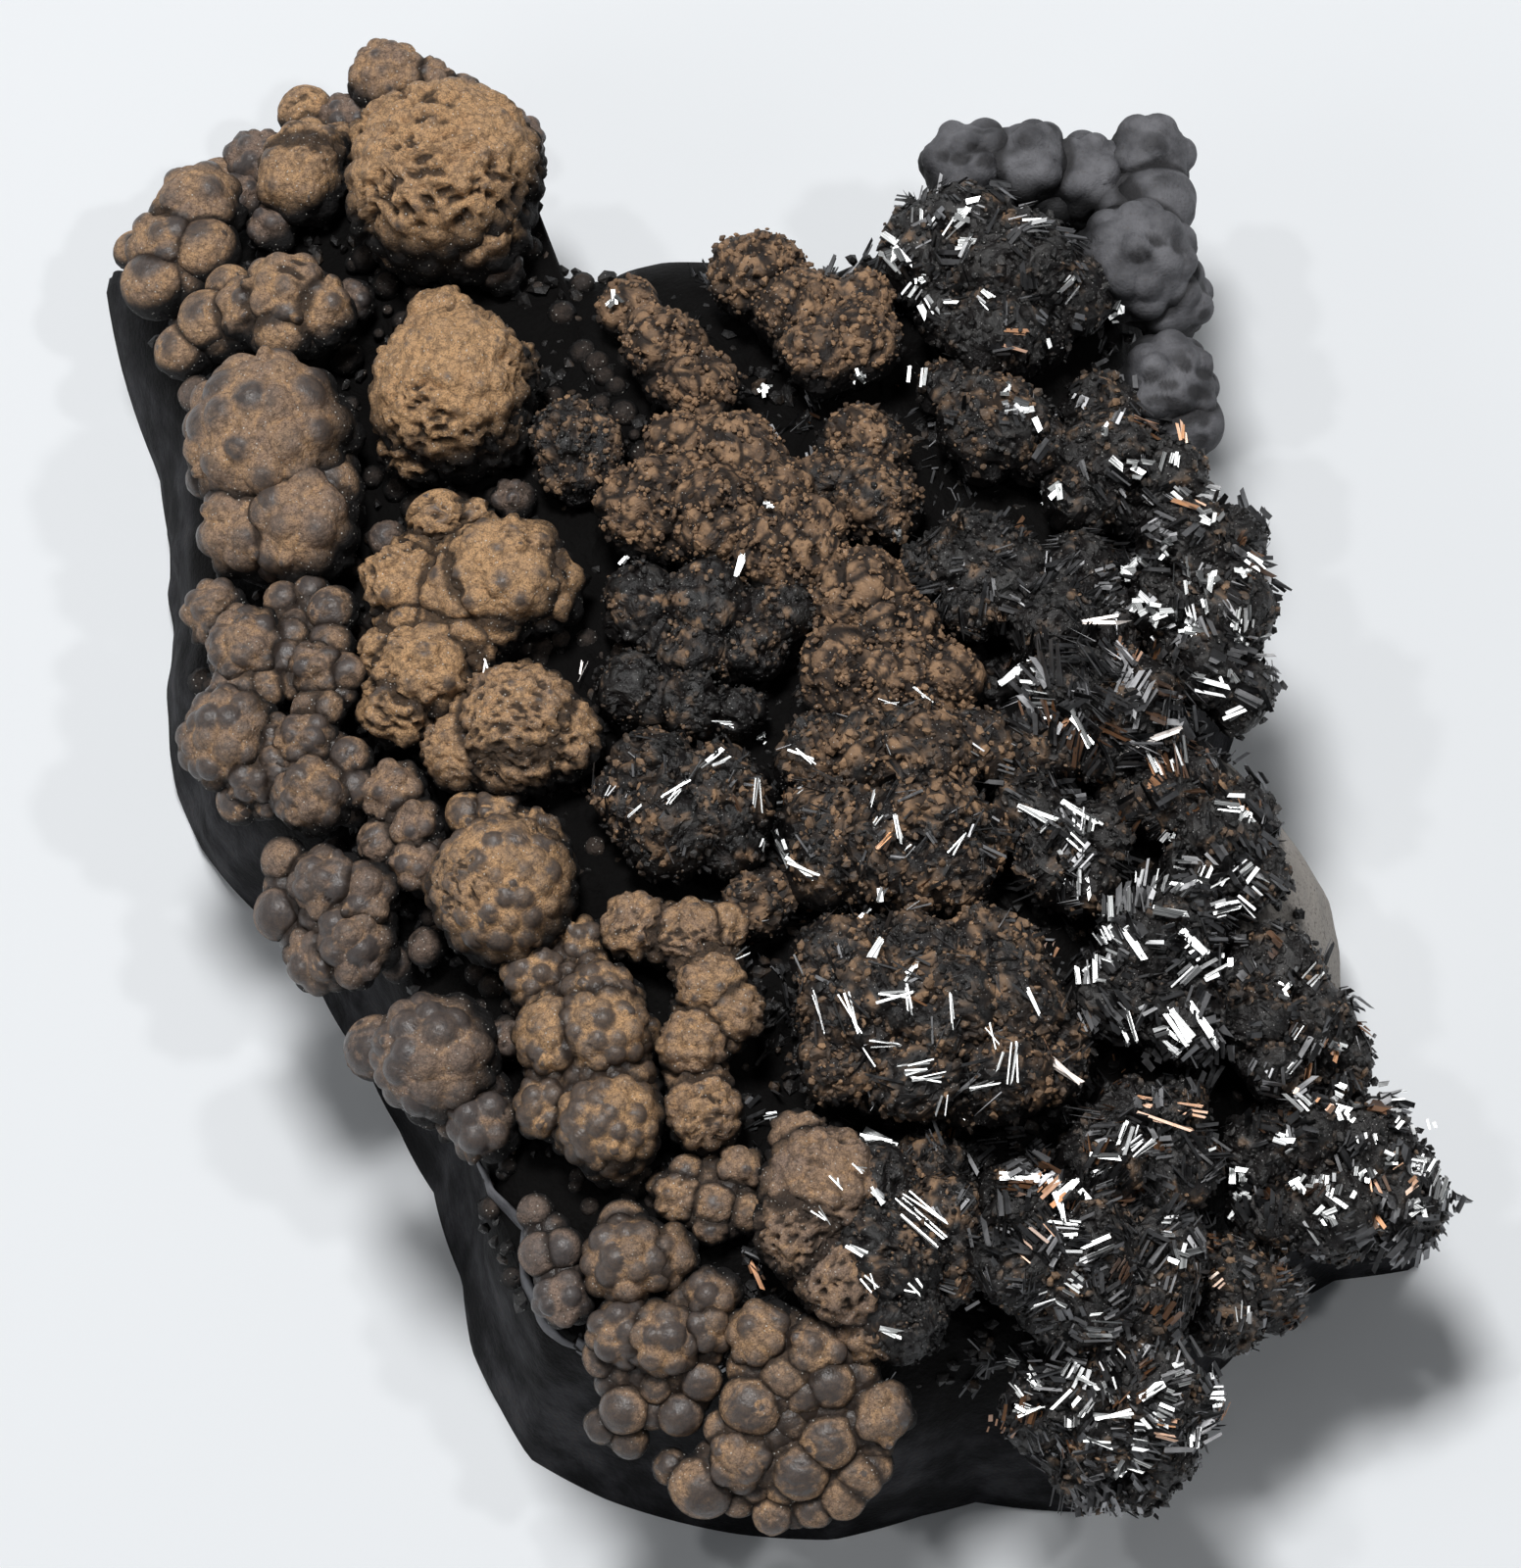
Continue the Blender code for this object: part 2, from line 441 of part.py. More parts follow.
def dividing_plane(first, second):
    """The flat wall that parts two clumps with the least cut: normal and distance."""
    best = None
    for k in range(72):
        angle = k * math.pi / 36.0
        way = np.array((math.cos(angle), math.sin(angle), 0.0))
        far = float((first["centres"] @ way + first["radii"]).max())
        near = float((second["centres"] @ way - second["radii"]).min())
        if best is None or far - near < best[0]:
            best = (far - near, way, 0.5 * (far + near))
    return best


def part_neighbours(clumps):
    """Give every clump the walls that keep it clear of the others."""
    names = list(clumps)
    for i, one in enumerate(names):
        for other in names[i + 1:]:
            overlap, way, place = dividing_plane(clumps[one], clumps[other])
            if overlap > -PARTED_BELOW:
                clumps[one]["walls"].append((way, place - 0.5 * GAP))
                clumps[other]["walls"].append((-way, -place - 0.5 * GAP))


def skin_radius(clump, ways):
    """Distance from a clump's heart to its lobed skin along each unit direction."""
    centres, radii = clump["body"]
    along = ways @ centres.T
    inside = along ** 2 - (centres ** 2).sum(axis=1) + radii ** 2
    reach = np.where(inside > 0.0, along + np.sqrt(np.maximum(inside, 0.0)), 0.0)
    upward = ways @ clump["normal"]
    wide = CORE_WIDTH * clump["reach"]
    core = 1.0 / np.sqrt((1.0 - upward ** 2) / wide ** 2 + upward ** 2 / clump["depth"] ** 2)
    return np.maximum(reach.max(axis=1), core)


def wall_limit(clump, ways):
    """How far each direction may run before it meets a wall of the clump."""
    limit = np.full(len(ways), 1.0e6)
    for way, place in clump["walls"]:
        slope = ways @ way
        room = place - float(np.dot(way, clump["heart"]))
        assert room > 0.1, "the heart of a clump lies outside its walls"
        limit = np.where(slope > 1.0e-6, np.minimum(limit, room / np.maximum(slope, 1.0e-6)), limit)
    return limit


def make_lump(name, clump, jag, material, group):
    """A ball pushed out to the lobed skin, cut flat at its walls, then thinned."""
    bm = bmesh.new()
    fineness = 5 if len(clump["radii"]) > 5 else 4
    bmesh.ops.create_icosphere(bm, subdivisions=fineness, radius=1.0)
    bm.verts.ensure_lookup_table()
    wanted = FACES_PER_CLUMP + FACES_PER_LOBE * len(clump["radii"])
    ways = np.array([vert.co.normalized()[:] for vert in bm.verts])
    skin = skin_radius(clump, ways)
    if jag:
        rough = (np.sin(9.0 * ways[:, 0] + 5.0 * ways[:, 2])
                 * np.sin(8.0 * ways[:, 1] - 6.0 * ways[:, 0] + 1.3)
                 * np.sin(10.0 * ways[:, 2] + 4.0 * ways[:, 1]))
        skin = skin * (1.0 - jag + jag * rough)
    skin = np.minimum(skin, wall_limit(clump, ways))
    for vert, way, length in zip(bm.verts, ways, skin):
        vert.co = clump["heart"] + way * length
    obj = add_object(name, bm, material, group)
    thin = obj.modifiers.new("thin", "DECIMATE")
    thin.decimate_type = "COLLAPSE"
    thin.ratio = wanted / (20.0 * 4.0 ** (fineness - 1))
    return obj


def make_crystals(name, clump, count, helpers, material):
    """Blades that lean out of a cluster all round its upper side."""
    bm = bmesh.new()
    side = Vector(clump["normal"])
    turn = side.to_track_quat("Z", "Y").to_matrix()
    for k in range(count):
        rise = 0.30 + 0.62 * (k + 0.5) / count
        angle = GOLDEN_TURN * k + 0.7 * len(clump["radii"])
        flat = math.sqrt(1.0 - rise * rise)
        way = turn @ Vector((flat * math.cos(angle), flat * math.sin(angle), rise))
        row = np.array(way)[None, :]
        skin = float(skin_radius(clump, row)[0])
        room = float(wall_limit(clump, row)[0])
        tip = min(skin + CRYSTAL_REACH * (0.75 + 0.25 * math.sin(2.1 * k)), room - 0.5)
        if tip < skin * 0.9 + 0.8:
            continue
        root = max(0.3, min(skin, room) - CRYSTAL_ROOT)
        length = tip - root
        blade = bmesh.ops.create_cube(bm, size=1.0)["verts"]
        for vert in blade:
            if vert.co.z > 0.0:
                vert.co.x *= 0.45
                vert.co.z += 0.10 * (1.0 if vert.co.y > 0.0 else -1.0)
        spin = Matrix.Rotation(1.9 * k, 3, "Z")
        frame = way.to_track_quat("Z", "Y").to_matrix() @ spin
        size = Vector((CRYSTAL_WIDTH, CRYSTAL_THICKNESS, length))
        middle = Vector(clump["heart"]) + way * (root + 0.5 * length)
        for vert in blade:
            local = Vector((vert.co.x * size.x, vert.co.y * size.y, vert.co.z * size.z))
            vert.co = middle + frame @ local
    obj = add_object(name, bm, material, helpers)
    obj.hide_render = True
    obj.display_type = "WIRE"
    return obj


def build():
    """Make the whole specimen."""
    clear_scene()
    scene = bpy.context.scene
    parts = bpy.data.collections.new(OBJECT_NAME)
    helpers = bpy.data.collections.new("helpers")
    scene.collection.children.link(parts)
    scene.collection.children.link(helpers)

    rock = make_material("matrix", (0.035, 0.033, 0.034), 0.62, 0.0)
    make_matrix(rock, parts)

    clumps = {}
    for name, lobes in ROMANECHITE.items():
        clumps[name] = place_lobes(lobes, 1.0)
    for name, lobes in list(ROUGH_ROMANECHITE.items()) + list(PYROLUSITE.items()):
        clumps[name] = place_lobes(lobes, CRUST_SWELL)
    part_neighbours(clumps)

    for name in ROMANECHITE:
        brown = make_material(name, (0.17, 0.11, 0.07), 0.6, 0.0)
        make_lump(name, clumps[name], 0.0, brown, parts)
    for name in ROUGH_ROMANECHITE:
        brown = make_material(name, (0.12, 0.08, 0.055), 0.75, 0.0)
        make_lump(name, clumps[name], ROUGHNESS, brown, parts)
    for name in PYROLUSITE:
        black = make_material(name, (0.03, 0.03, 0.032), 0.35, 0.6)
        lump = make_lump(name, clumps[name], ROUGHNESS, black, parts)
        count = 4 + len(clumps[name]["radii"]) // 2
        blades = make_crystals(name + "_blades", clumps[name], count, helpers, black)
        union = lump.modifiers.new("blades", "BOOLEAN")
        union.operation = "UNION"
        union.solver = "EXACT"
        union.use_self = True
        union.object = blades


build()
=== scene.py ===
"""Pyrolusite with romanechite: the finished surfaces of a specimen lying on its cut back.

Sizes are in millimetres until a mesh is filled in.  Places are measured on a plane that
leans 20 degrees back from the table: "across" runs to the right, "up" runs up the plane.
"""

import math

import bpy
import numpy as np
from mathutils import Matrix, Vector


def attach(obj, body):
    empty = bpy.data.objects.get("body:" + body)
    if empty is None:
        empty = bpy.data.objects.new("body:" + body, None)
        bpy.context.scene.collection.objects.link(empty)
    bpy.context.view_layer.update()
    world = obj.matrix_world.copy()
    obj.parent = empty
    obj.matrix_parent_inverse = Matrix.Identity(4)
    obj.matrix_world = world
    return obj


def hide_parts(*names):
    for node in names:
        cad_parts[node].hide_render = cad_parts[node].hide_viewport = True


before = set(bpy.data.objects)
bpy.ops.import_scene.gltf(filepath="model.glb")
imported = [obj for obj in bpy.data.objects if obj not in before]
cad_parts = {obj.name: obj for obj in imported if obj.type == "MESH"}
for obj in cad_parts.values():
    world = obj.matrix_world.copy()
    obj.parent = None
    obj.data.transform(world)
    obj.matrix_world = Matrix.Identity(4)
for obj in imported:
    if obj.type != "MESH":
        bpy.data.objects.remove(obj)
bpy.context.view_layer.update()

# The matrix: a low slab of massive dark manganese ore, broken round its edge and cut flat
# underneath.  A bent grid of rings runs from the middle of the back out to the edge, up
# the fluted wall, over the shoulder and in to the top of the dome.

MM = 0.001
FACE_LEAN = math.radians(20.0)
FACE_HEIGHT = 14.0
MID_ACROSS = 1.34
MID_UP = 1.243

DOME_HEIGHT = 19.0
DOME_TOP = (2.5, -5.1)
DOME_FALL = (0.0062, 0.0036)
SHOULDER = 13.0
HUB = (-3.8, 0.6)
FLUTES = 11
FLUTE_DEPTH = 0.018
BAY_ANGLE = math.radians(-122.0)
BAY_WIDTH = math.radians(32.0)
BAY_DEPTH = 0.06

# Swellings of the skin: height, size, and the noise's number.  The grain is only on top,
# and comes in over some height; the skin keeps still where it lies on the table.
SWELLS = ((0.45, 5.5, 3), (0.20, 1.7, 4))
TOP_GRAIN = (0.28, 0.9, 5)
TOP_FROM = 13.0
TOP_OVER = 3.0
FOOT_OVER = 1.2

ROCK_BLACK = (0.010, 0.010, 0.011)
ROCK_CLOUDS = (0.046, 0.046, 0.052)
ROCK_BROWN = (0.060, 0.046, 0.036)
# Painted shade: the near black given to the slab's top, which lies in shade between the clumps.
ROCK_TOP_SHADE = (0.003, 0.0026, 0.0025)
WORN_TAN = (0.48, 0.44, 0.40)
WORN_MIDDLE = (27.0, -5.5, 8.0)
WORN_REACH = (9.5, 6.0)
WORN_RAGGED = 16.0
SAWN_GREY = (0.085, 0.083, 0.085)

# Edge of the slab: across, up, and the height at which it was measured.
OUTLINE = [
    (-34.3, 26.5, 0), (-33.3, 21.5, 0), (-31.3, 16.0, 0), (-30.6, 12.0, 0), (-30.3, 7.5, 0),
    (-30.2, -0.5, 0), (-28.8, -3.5, 0), (-25.3, -7.3, 0), (-22.8, -10.5, 0), (-20.3, -14.5, 0),
    (-18.6, -17.8, 0), (-16.8, -21.0, 0), (-15.3, -25.5, 0), (-14.8, -29.0, 0),
    (-13.3, -32.0, 0), (-11.8, -34.5, 0), (-7.8, -36.6, 0), (-1.3, -38.3, 0), (3.7, -38.6, 0),
    (8.2, -37.4, 0), (11.0, -36.7, 0), (16.0, -37.2, 0), (19.8, -35.0, 6), (21.8, -31.0, 6),
    (23.2, -28.3, 6), (26.0, -25.2, 6), (29.5, -23.4, 6), (33.8, -22.8, 6), (34.2, -20.4, 6),
    (32.3, -16.5, 6), (30.4, -12.5, 6), (29.8, -8.5, 6), (28.7, -5.0, 6), (27.0, -2.0, 6),
    (24.9, 0.0, 6), (23.8, 2.5, 6), (24.9, 6.0, 7), (25.0, 10.0, 8), (24.2, 14.0, 8),
    (22.6, 16.5, 8), (22.2, 20.0, 8), (21.6, 23.0, 8), (21.6, 26.0, 8), (21.0, 30.0, 8),
    (20.2, 33.2, 8), (16.2, 32.8, 8), (12.0, 33.0, 8), (9.2, 32.0, 8), (7.0, 28.2, 8),
    (4.0, 27.0, 8), (-2.0, 27.0, 8), (-8.0, 26.9, 8), (-11.2, 27.8, 8), (-12.3, 30.5, 8),
    (-12.9, 33.8, 8), (-15.2, 36.0, 8), (-19.0, 37.8, 8), (-22.5, 35.6, 8), (-26.5, 33.2, 8),
    (-30.3, 30.2, 7), (-32.8, 27.8, 5),
]

# Hollows in the top of the slab: across, up, radius, depth.
HOLLOWS = [
    (12.0, -33.6, 3.6, 9.0), (-20.0, 22.0, 2.2, 1.5), (-17.0, -9.5, 2.4, 1.8),
    (8.5, 20.5, 2.0, 1.5), (0.8, -15.0, 1.8, 1.5),
]


def to_plan(across, up, height):
    """x = across, y = (up less the height's share of the lean) over the lean's cosine."""
    x = across - MID_ACROSS
    y = (up - (height - FACE_HEIGHT) * math.sin(FACE_LEAN)) / math.cos(FACE_LEAN) - MID_UP
    return x, y


HUB_X, HUB_Y = to_plan(HUB[0], HUB[1], FACE_HEIGHT)
DOME_X, DOME_Y = to_plan(DOME_TOP[0], DOME_TOP[1], FACE_HEIGHT)
EDGE = np.array([to_plan(*row) for row in OUTLINE]) - np.array((HUB_X, HUB_Y))
EDGE = EDGE[np.argsort(np.arctan2(EDGE[:, 1], EDGE[:, 0]))]
EDGE_ANGLES = np.arctan2(EDGE[:, 1], EDGE[:, 0])
EDGE_RADII = np.hypot(EDGE[:, 0], EDGE[:, 1])


def edge_radius(angle):
    """Distance from the hub to the slab's edge, straight between the measured points."""
    return np.interp(angle, EDGE_ANGLES, EDGE_RADII, period=2.0 * math.pi)


def edge_share(x, y):
    """How far out a place lies: 0 at the hub, 1 at the slab's edge."""
    return np.hypot(x - HUB_X, y - HUB_Y) / edge_radius(np.arctan2(y - HUB_Y, x - HUB_X))


def dome(x, y):
    """A paraboloid: the top height less a share of the squared distances, less hollows."""
    height = DOME_HEIGHT - DOME_FALL[0] * (x - DOME_X) ** 2 - DOME_FALL[1] * (y - DOME_Y) ** 2
    for across, up, radius, depth in HOLLOWS:
        hx, hy = to_plan(across, up, FACE_HEIGHT)
        height = height - depth * np.exp(-((x - hx) ** 2 + (y - hy) ** 2) / radius ** 2)
    return height


def slab_top(x, y):
    """The dome times the cube root of one less the share of the edge's radius ^ 13."""
    share = edge_share(x, y)
    rim = np.clip(1.0 - np.clip(share, 0.0, 1.0) ** SHOULDER, 0.0, 1.0) ** (1.0 / 3.0)
    return dome(x, y) * rim


def scatter(cells, salt):
    """Whole-number lattice places mixed into three fractions between 0 and 1 each."""
    mixed = (cells[..., 0] * 73856093) ^ (cells[..., 1] * 19349663) ^ (cells[..., 2] * 83492791)
    mixed = (mixed ^ (salt * 2654435761)) & 0x7FFFFFFF
    mixed = ((mixed ^ (mixed >> 15)) * 739982445) & 0x7FFFFFFF
    mixed = ((mixed ^ (mixed >> 12)) * 695872825) & 0x7FFFFFFF
    mixed = mixed ^ (mixed >> 15)
    bits = np.stack((mixed & 1023, (mixed >> 10) & 1023, (mixed >> 20) & 1023), axis=-1)
    return bits / 1023.0


def rolling(points, size, salt):
    """Smooth noise from -1 to 1: hashed heights at the corners of cubes, blended."""
    scaled = points / size
    corner = np.floor(scaled).astype(np.int64)
    part = scaled - corner
    part = part * part * (3.0 - 2.0 * part)
    total = np.zeros(len(points))
    for step in np.ndindex(2, 2, 2):
        weight = np.prod(np.where(np.array(step) == 1, part, 1.0 - part), axis=1)
        total += weight * scatter(corner + np.array(step), salt)[:, 0]
    return 2.0 * total - 1.0


def add_piece(name, points, corners, finish, material, smooth=True):
    """A mesh object from arrays of places in millimetres, triangles' corners and finish."""
    mesh = bpy.data.meshes.new(name)
    mesh.vertices.add(len(points))
    mesh.vertices.foreach_set("co", (points * MM).astype(np.float32).ravel())
    mesh.loops.add(corners.size)
    mesh.loops.foreach_set("vertex_index", corners.astype(np.int32).ravel())
    mesh.polygons.add(len(corners))
    mesh.polygons.foreach_set("loop_start", np.arange(0, corners.size, 3, dtype=np.int32))
    mesh.update(calc_edges=True)
    if smooth:
        mesh.shade_smooth()
    else:
        mesh.shade_flat()
    if finish is not None:
        layer = mesh.attributes.new("finish", "FLOAT_COLOR", "POINT")
        layer.data.foreach_set("color", finish.astype(np.float32).ravel())
    mesh.materials.append(material)
    piece = bpy.data.objects.new(name, mesh)
    bpy.context.scene.collection.objects.link(piece)
    return piece


class Value:
    """A socket in a material; arithmetic on it adds the Math nodes that it needs."""

    def __init__(self, tree, socket):
        self.tree = tree
        self.socket = socket

    def math(self, operation, *others, first=None):
        """This value and others through one Math node; first goes before this value."""
        terms = [self, *others] if first is None else [first, self]
        return add_node(self.tree, "ShaderNodeMath", {"operation": operation},
                        dict(enumerate(terms)))

    def __add__(self, other):
        return self.math("ADD", other)

    def __sub__(self, other):
        return self.math("SUBTRACT", other)

    def __rsub__(self, other):
        return self.math("SUBTRACT", first=other)

    def __mul__(self, other):
        return self.math("MULTIPLY", other)

    __radd__ = __add__
    __rmul__ = __mul__

    def rise(self, low, high):
        """0 below low, 1 above high, and a smooth step between; low may be the larger."""
        return add_node(self.tree, "ShaderNodeMapRange", {"interpolation_type": "SMOOTHSTEP"},
                        {0: self, 1: low, 2: high, 3: 0.0, 4: 1.0})


def add_node(tree, kind, settings=None, inputs=None, output=0):
    """A node with its settings and its inputs' numbers or links; gives one output."""
    node = tree.nodes.new(kind)
    for key, setting in (settings or {}).items():
        setattr(node, key, setting)
    for key, given in (inputs or {}).items():
        if isinstance(given, Value):
            tree.links.new(given.socket, node.inputs[key])
        else:
            node.inputs[key].default_value = given
    return Value(tree, node.outputs[output])


def blend(tree, first, second, share):
    """The colour that lies this share of the way from the first to the second."""
    first = first if isinstance(first, Value) else (*first, 1.0)
    second = second if isinstance(second, Value) else (*second, 1.0)
    return add_node(tree, "ShaderNodeMix", {"data_type": "RGBA"},
                    {0: share, 6: first, 7: second}, output=2)


def speckle(tree, place, scale, detail=3.0, roughness=0.55):
    """Noise from 0 to 1 with this many waves to the millimetre."""
    return add_node(tree, "ShaderNodeTexNoise", {"noise_dimensions": "3D"},
                    {"Vector": place, "Scale": scale, "Detail": detail, "Roughness": roughness})


def grains(tree, place, scale):
    """Distance from the nearest of scattered centres, this many to the millimetre."""
    return add_node(tree, "ShaderNodeTexVoronoi", None, {"Vector": place, "Scale": scale})


def start_finish(name):
    """A new material: its tree, its shader, and the place on the piece in millimetres."""
    material = bpy.data.materials.new(name)
    material.use_nodes = True
    tree = material.node_tree
    place = add_node(tree, "ShaderNodeTexCoord", output=3)
    place = add_node(tree, "ShaderNodeVectorMath", {"operation": "SCALE"},
                     {0: place, "Scale": 1.0 / MM})
    return material, tree, tree.nodes["Principled BSDF"], place


def read_finish(tree):
    """The four numbers of a piece's finish, as values."""
    finish = add_node(tree, "ShaderNodeAttribute", {"attribute_name": "finish"})
    first = add_node(tree, "ShaderNodeSeparateColor", None, {0: finish})
    second, third = (Value(tree, first.socket.node.outputs[k]) for k in (1, 2))
    return first, second, third, Value(tree, finish.socket.node.outputs[3])


def connect(tree, shader, relief=None, depth=0.05, **sockets):
    """Link values into the shader's sockets, and a relief in millimetres through Bump."""
    for name, value in sockets.items():
        tree.links.new(value.socket, shader.inputs[name.replace("_", " ")])
    if relief is not None:
        bump = add_node(tree, "ShaderNodeBump", None,
                        {"Height": relief, "Distance": depth * MM, "Strength": 1.0})
        tree.links.new(bump.socket, shader.inputs["Normal"])


def rock_finish():
    """Near-black ore: a paler wall under a top darkened with painted shade, a worn tan face
    on the right, saw marks underneath.
    """
    material, tree, shader, place = start_finish("matrix_rock")
    shaded_top, _, _, _ = read_finish(tree)
    cloud = speckle(tree, place, 0.35, 4.0)
    fine = speckle(tree, place, 5.0, 4.0, 0.65)
    ground = blend(tree, ROCK_BLACK, ROCK_CLOUDS, cloud.rise(0.38, 0.72))
    ground = blend(tree, ground, ROCK_BROWN, (cloud * fine).rise(0.30, 0.46) * 0.5)
    # Painted shade: the top of the slab between the clumps is made near black.
    ground = blend(tree, ground, ROCK_TOP_SHADE, shaded_top.rise(0.0, 0.35))
    worn = add_node(tree, "ShaderNodeVectorMath", {"operation": "DISTANCE"},
                    {0: place, 1: WORN_MIDDLE}, output=1)
    worn = (worn + (cloud - 0.5) * WORN_RAGGED).rise(*WORN_REACH) * fine.rise(0.20, 0.50)
    ground = blend(tree, ground, WORN_TAN, worn * 0.9)
    height = add_node(tree, "ShaderNodeSeparateXYZ", None, {0: place}, output=2)
    cut = height.rise(0.06, 0.01)
    ground = blend(tree, ground, SAWN_GREY, cut)
    marks = add_node(tree, "ShaderNodeTexWave", {"bands_direction": "DIAGONAL"},
                     {"Vector": place, "Scale": 0.55, "Distortion": 1.2, "Detail": 2.0})
    relief = fine * 0.9 + grains(tree, place, 3.0) * 0.5 + marks * cut * 0.5
    connect(tree, shader, relief, 0.10, Base_Color=ground, Roughness=0.95 - cloud * 0.30)
    shader.inputs["Specular IOR Level"].default_value = 0.12
    return material


def matrix_grid(turns=420, wall_rows=46, top_rows=84, back_rows=4):
    """Places of the rings from the middle of the back round to the top of the dome.

    On the wall and the shoulder the height is the dome times a rim value t, and the share
    of the edge's radius is the 13th root of 1 - t cubed.  Inside that the share falls
    evenly to the hub.  Noise moves every ring off the table outwards or inwards.
    """
    angle = np.arange(turns) * 2.0 * math.pi / turns
    rims = np.linspace(0.0, 0.97, wall_rows)
    last = (1.0 - rims[-1] ** 3) ** (1.0 / SHOULDER)
    shares = np.concatenate((np.arange(1, back_rows) / back_rows,
                             (1.0 - rims ** 3) ** (1.0 / SHOULDER),
                             np.linspace(last, 0.0, top_rows + 1)[1:-1]))
    on_back = np.arange(len(shares)) < back_rows
    reach = edge_radius(angle)[None, :] * shares[:, None]
    x = HUB_X + reach * np.cos(angle)
    y = HUB_Y + reach * np.sin(angle)
    rim = np.clip(1.0 - shares ** SHOULDER, 0.0, 1.0) ** (1.0 / 3.0)
    z = np.where(on_back[:, None], 0.0, dome(x, y) * rim[:, None])
    turn = np.angle(np.exp(1j * (angle - BAY_ANGLE)))
    hollow = BAY_DEPTH * np.exp(-(turn / BAY_WIDTH) ** 2)
    hollow = hollow + FLUTE_DEPTH * (1.0 + np.sin(FLUTES * angle))
    bend = np.sin(math.pi * np.minimum(1.0, z / DOME_HEIGHT * 1.15))
    inward = np.where(shares[:, None] > 0.9, reach * hollow * bend, 0.0)
    x = x - inward * np.cos(angle)
    y = y - inward * np.sin(angle)
    places = np.stack((x, y, z), axis=-1).reshape(-1, 3)
    push = sum(rise * rolling(places, size, salt) for rise, size, salt in SWELLS)
    rise, size, salt = TOP_GRAIN
    top = np.clip((places[:, 2] - TOP_FROM) / TOP_OVER, 0.0, 1.0)
    push = push + top * rise * np.abs(rolling(places, size, salt))
    push = push * np.clip(places[:, 2] / FOOT_OVER, 0.0, 1.0)
    steep = np.repeat(np.clip((shares - 0.8) / 0.2, 0.0, 1.0), turns)
    out = np.tile(angle, len(shares))
    places[:, 0] += push * steep * np.cos(out)
    places[:, 1] += push * steep * np.sin(out)
    places[:, 2] += push * (1.0 - steep)
    middle = float(dome(HUB_X, HUB_Y))
    places = np.vstack((places, ((HUB_X, HUB_Y, 0.0), (HUB_X, HUB_Y, middle))))
    # Painted shade: the top, off the wall and over 5 mm high, is marked to be made near black.
    upper = np.append((1.0 - steep) * (places[:-2, 2] > 5.0), (0.0, 1.0))
    ring = np.arange(turns)
    after = (ring + 1) % turns
    corners = []
    for row in range(len(shares) - 1):
        low = row * turns
        high = low + turns
        corners.append(np.stack((low + ring, low + after, high + after), axis=1))
        corners.append(np.stack((low + ring, high + after, high + ring), axis=1))
    foot = np.full(turns, len(places) - 2)
    peak = np.full(turns, len(places) - 1)
    high = (len(shares) - 1) * turns
    corners.append(np.stack((foot, after, ring), axis=1))
    corners.append(np.stack((high + ring, high + after, peak), axis=1))
    finish = np.column_stack((upper, upper, upper, np.ones(len(places))))
    return places, np.concatenate(corners), finish


rock = rock_finish()
matrix = add_piece("matrix_slab", *matrix_grid(), rock)
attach(matrix, "root")
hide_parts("matrix")

# The smooth clumps on the left: romanechite grown outwards in balls, each ball with
# shallow round buds.  A brown velvety coat lies over it, worn to dark grey on the tops of
# the buds; some clumps are eaten into worm-like pits.

FOOT_GAP = 0.3
STEEPEST_FOOT = 0.55
FOOT_TO_HEART = 1.5
LUMP_RISE = 0.28
LOBE_SEAT = 0.35
FILL_REACH = 1.35
FILL_WIDTH = 0.95
FILL_SINK = 0.38
BALL_SWELL = 1.15
BALL_STEP = 0.20

# A bud takes this many times its squared radius of a ball's skin; a ball with room for
# fewer than the fewest stays one.  Beads sit on the buds.
BUD_SHARE = 2.6
FEWEST_BUDS = 14
BEAD_SIZES = (0.18, 0.30)
BEAD_RISES = (0.05, 0.14)
DEEPEST_SEAM = -0.22

COAT_GREY = (0.330, 0.232, 0.178)
COAT_GOLD = (0.730, 0.440, 0.222)
COAT_RUST = (0.66, 0.31, 0.12)
COAT_SPECKS = (0.060, 0.042, 0.031)
CROWN_GREY = (0.062, 0.058, 0.060)
# Painted shade: the dark brown of creases between balls, of pits and of seams.
HOLLOW_SHADE_BROWN = (0.024, 0.016, 0.012)
# Low on the flanks: partly bare dark ore, partly painted shade.
FLANK_ORE_AND_SHADE = (0.005, 0.004, 0.004)
# Painted glints: white specks standing in for the sparkle of tiny crystals.
GLINT_WHITE = (0.90, 0.87, 0.80)

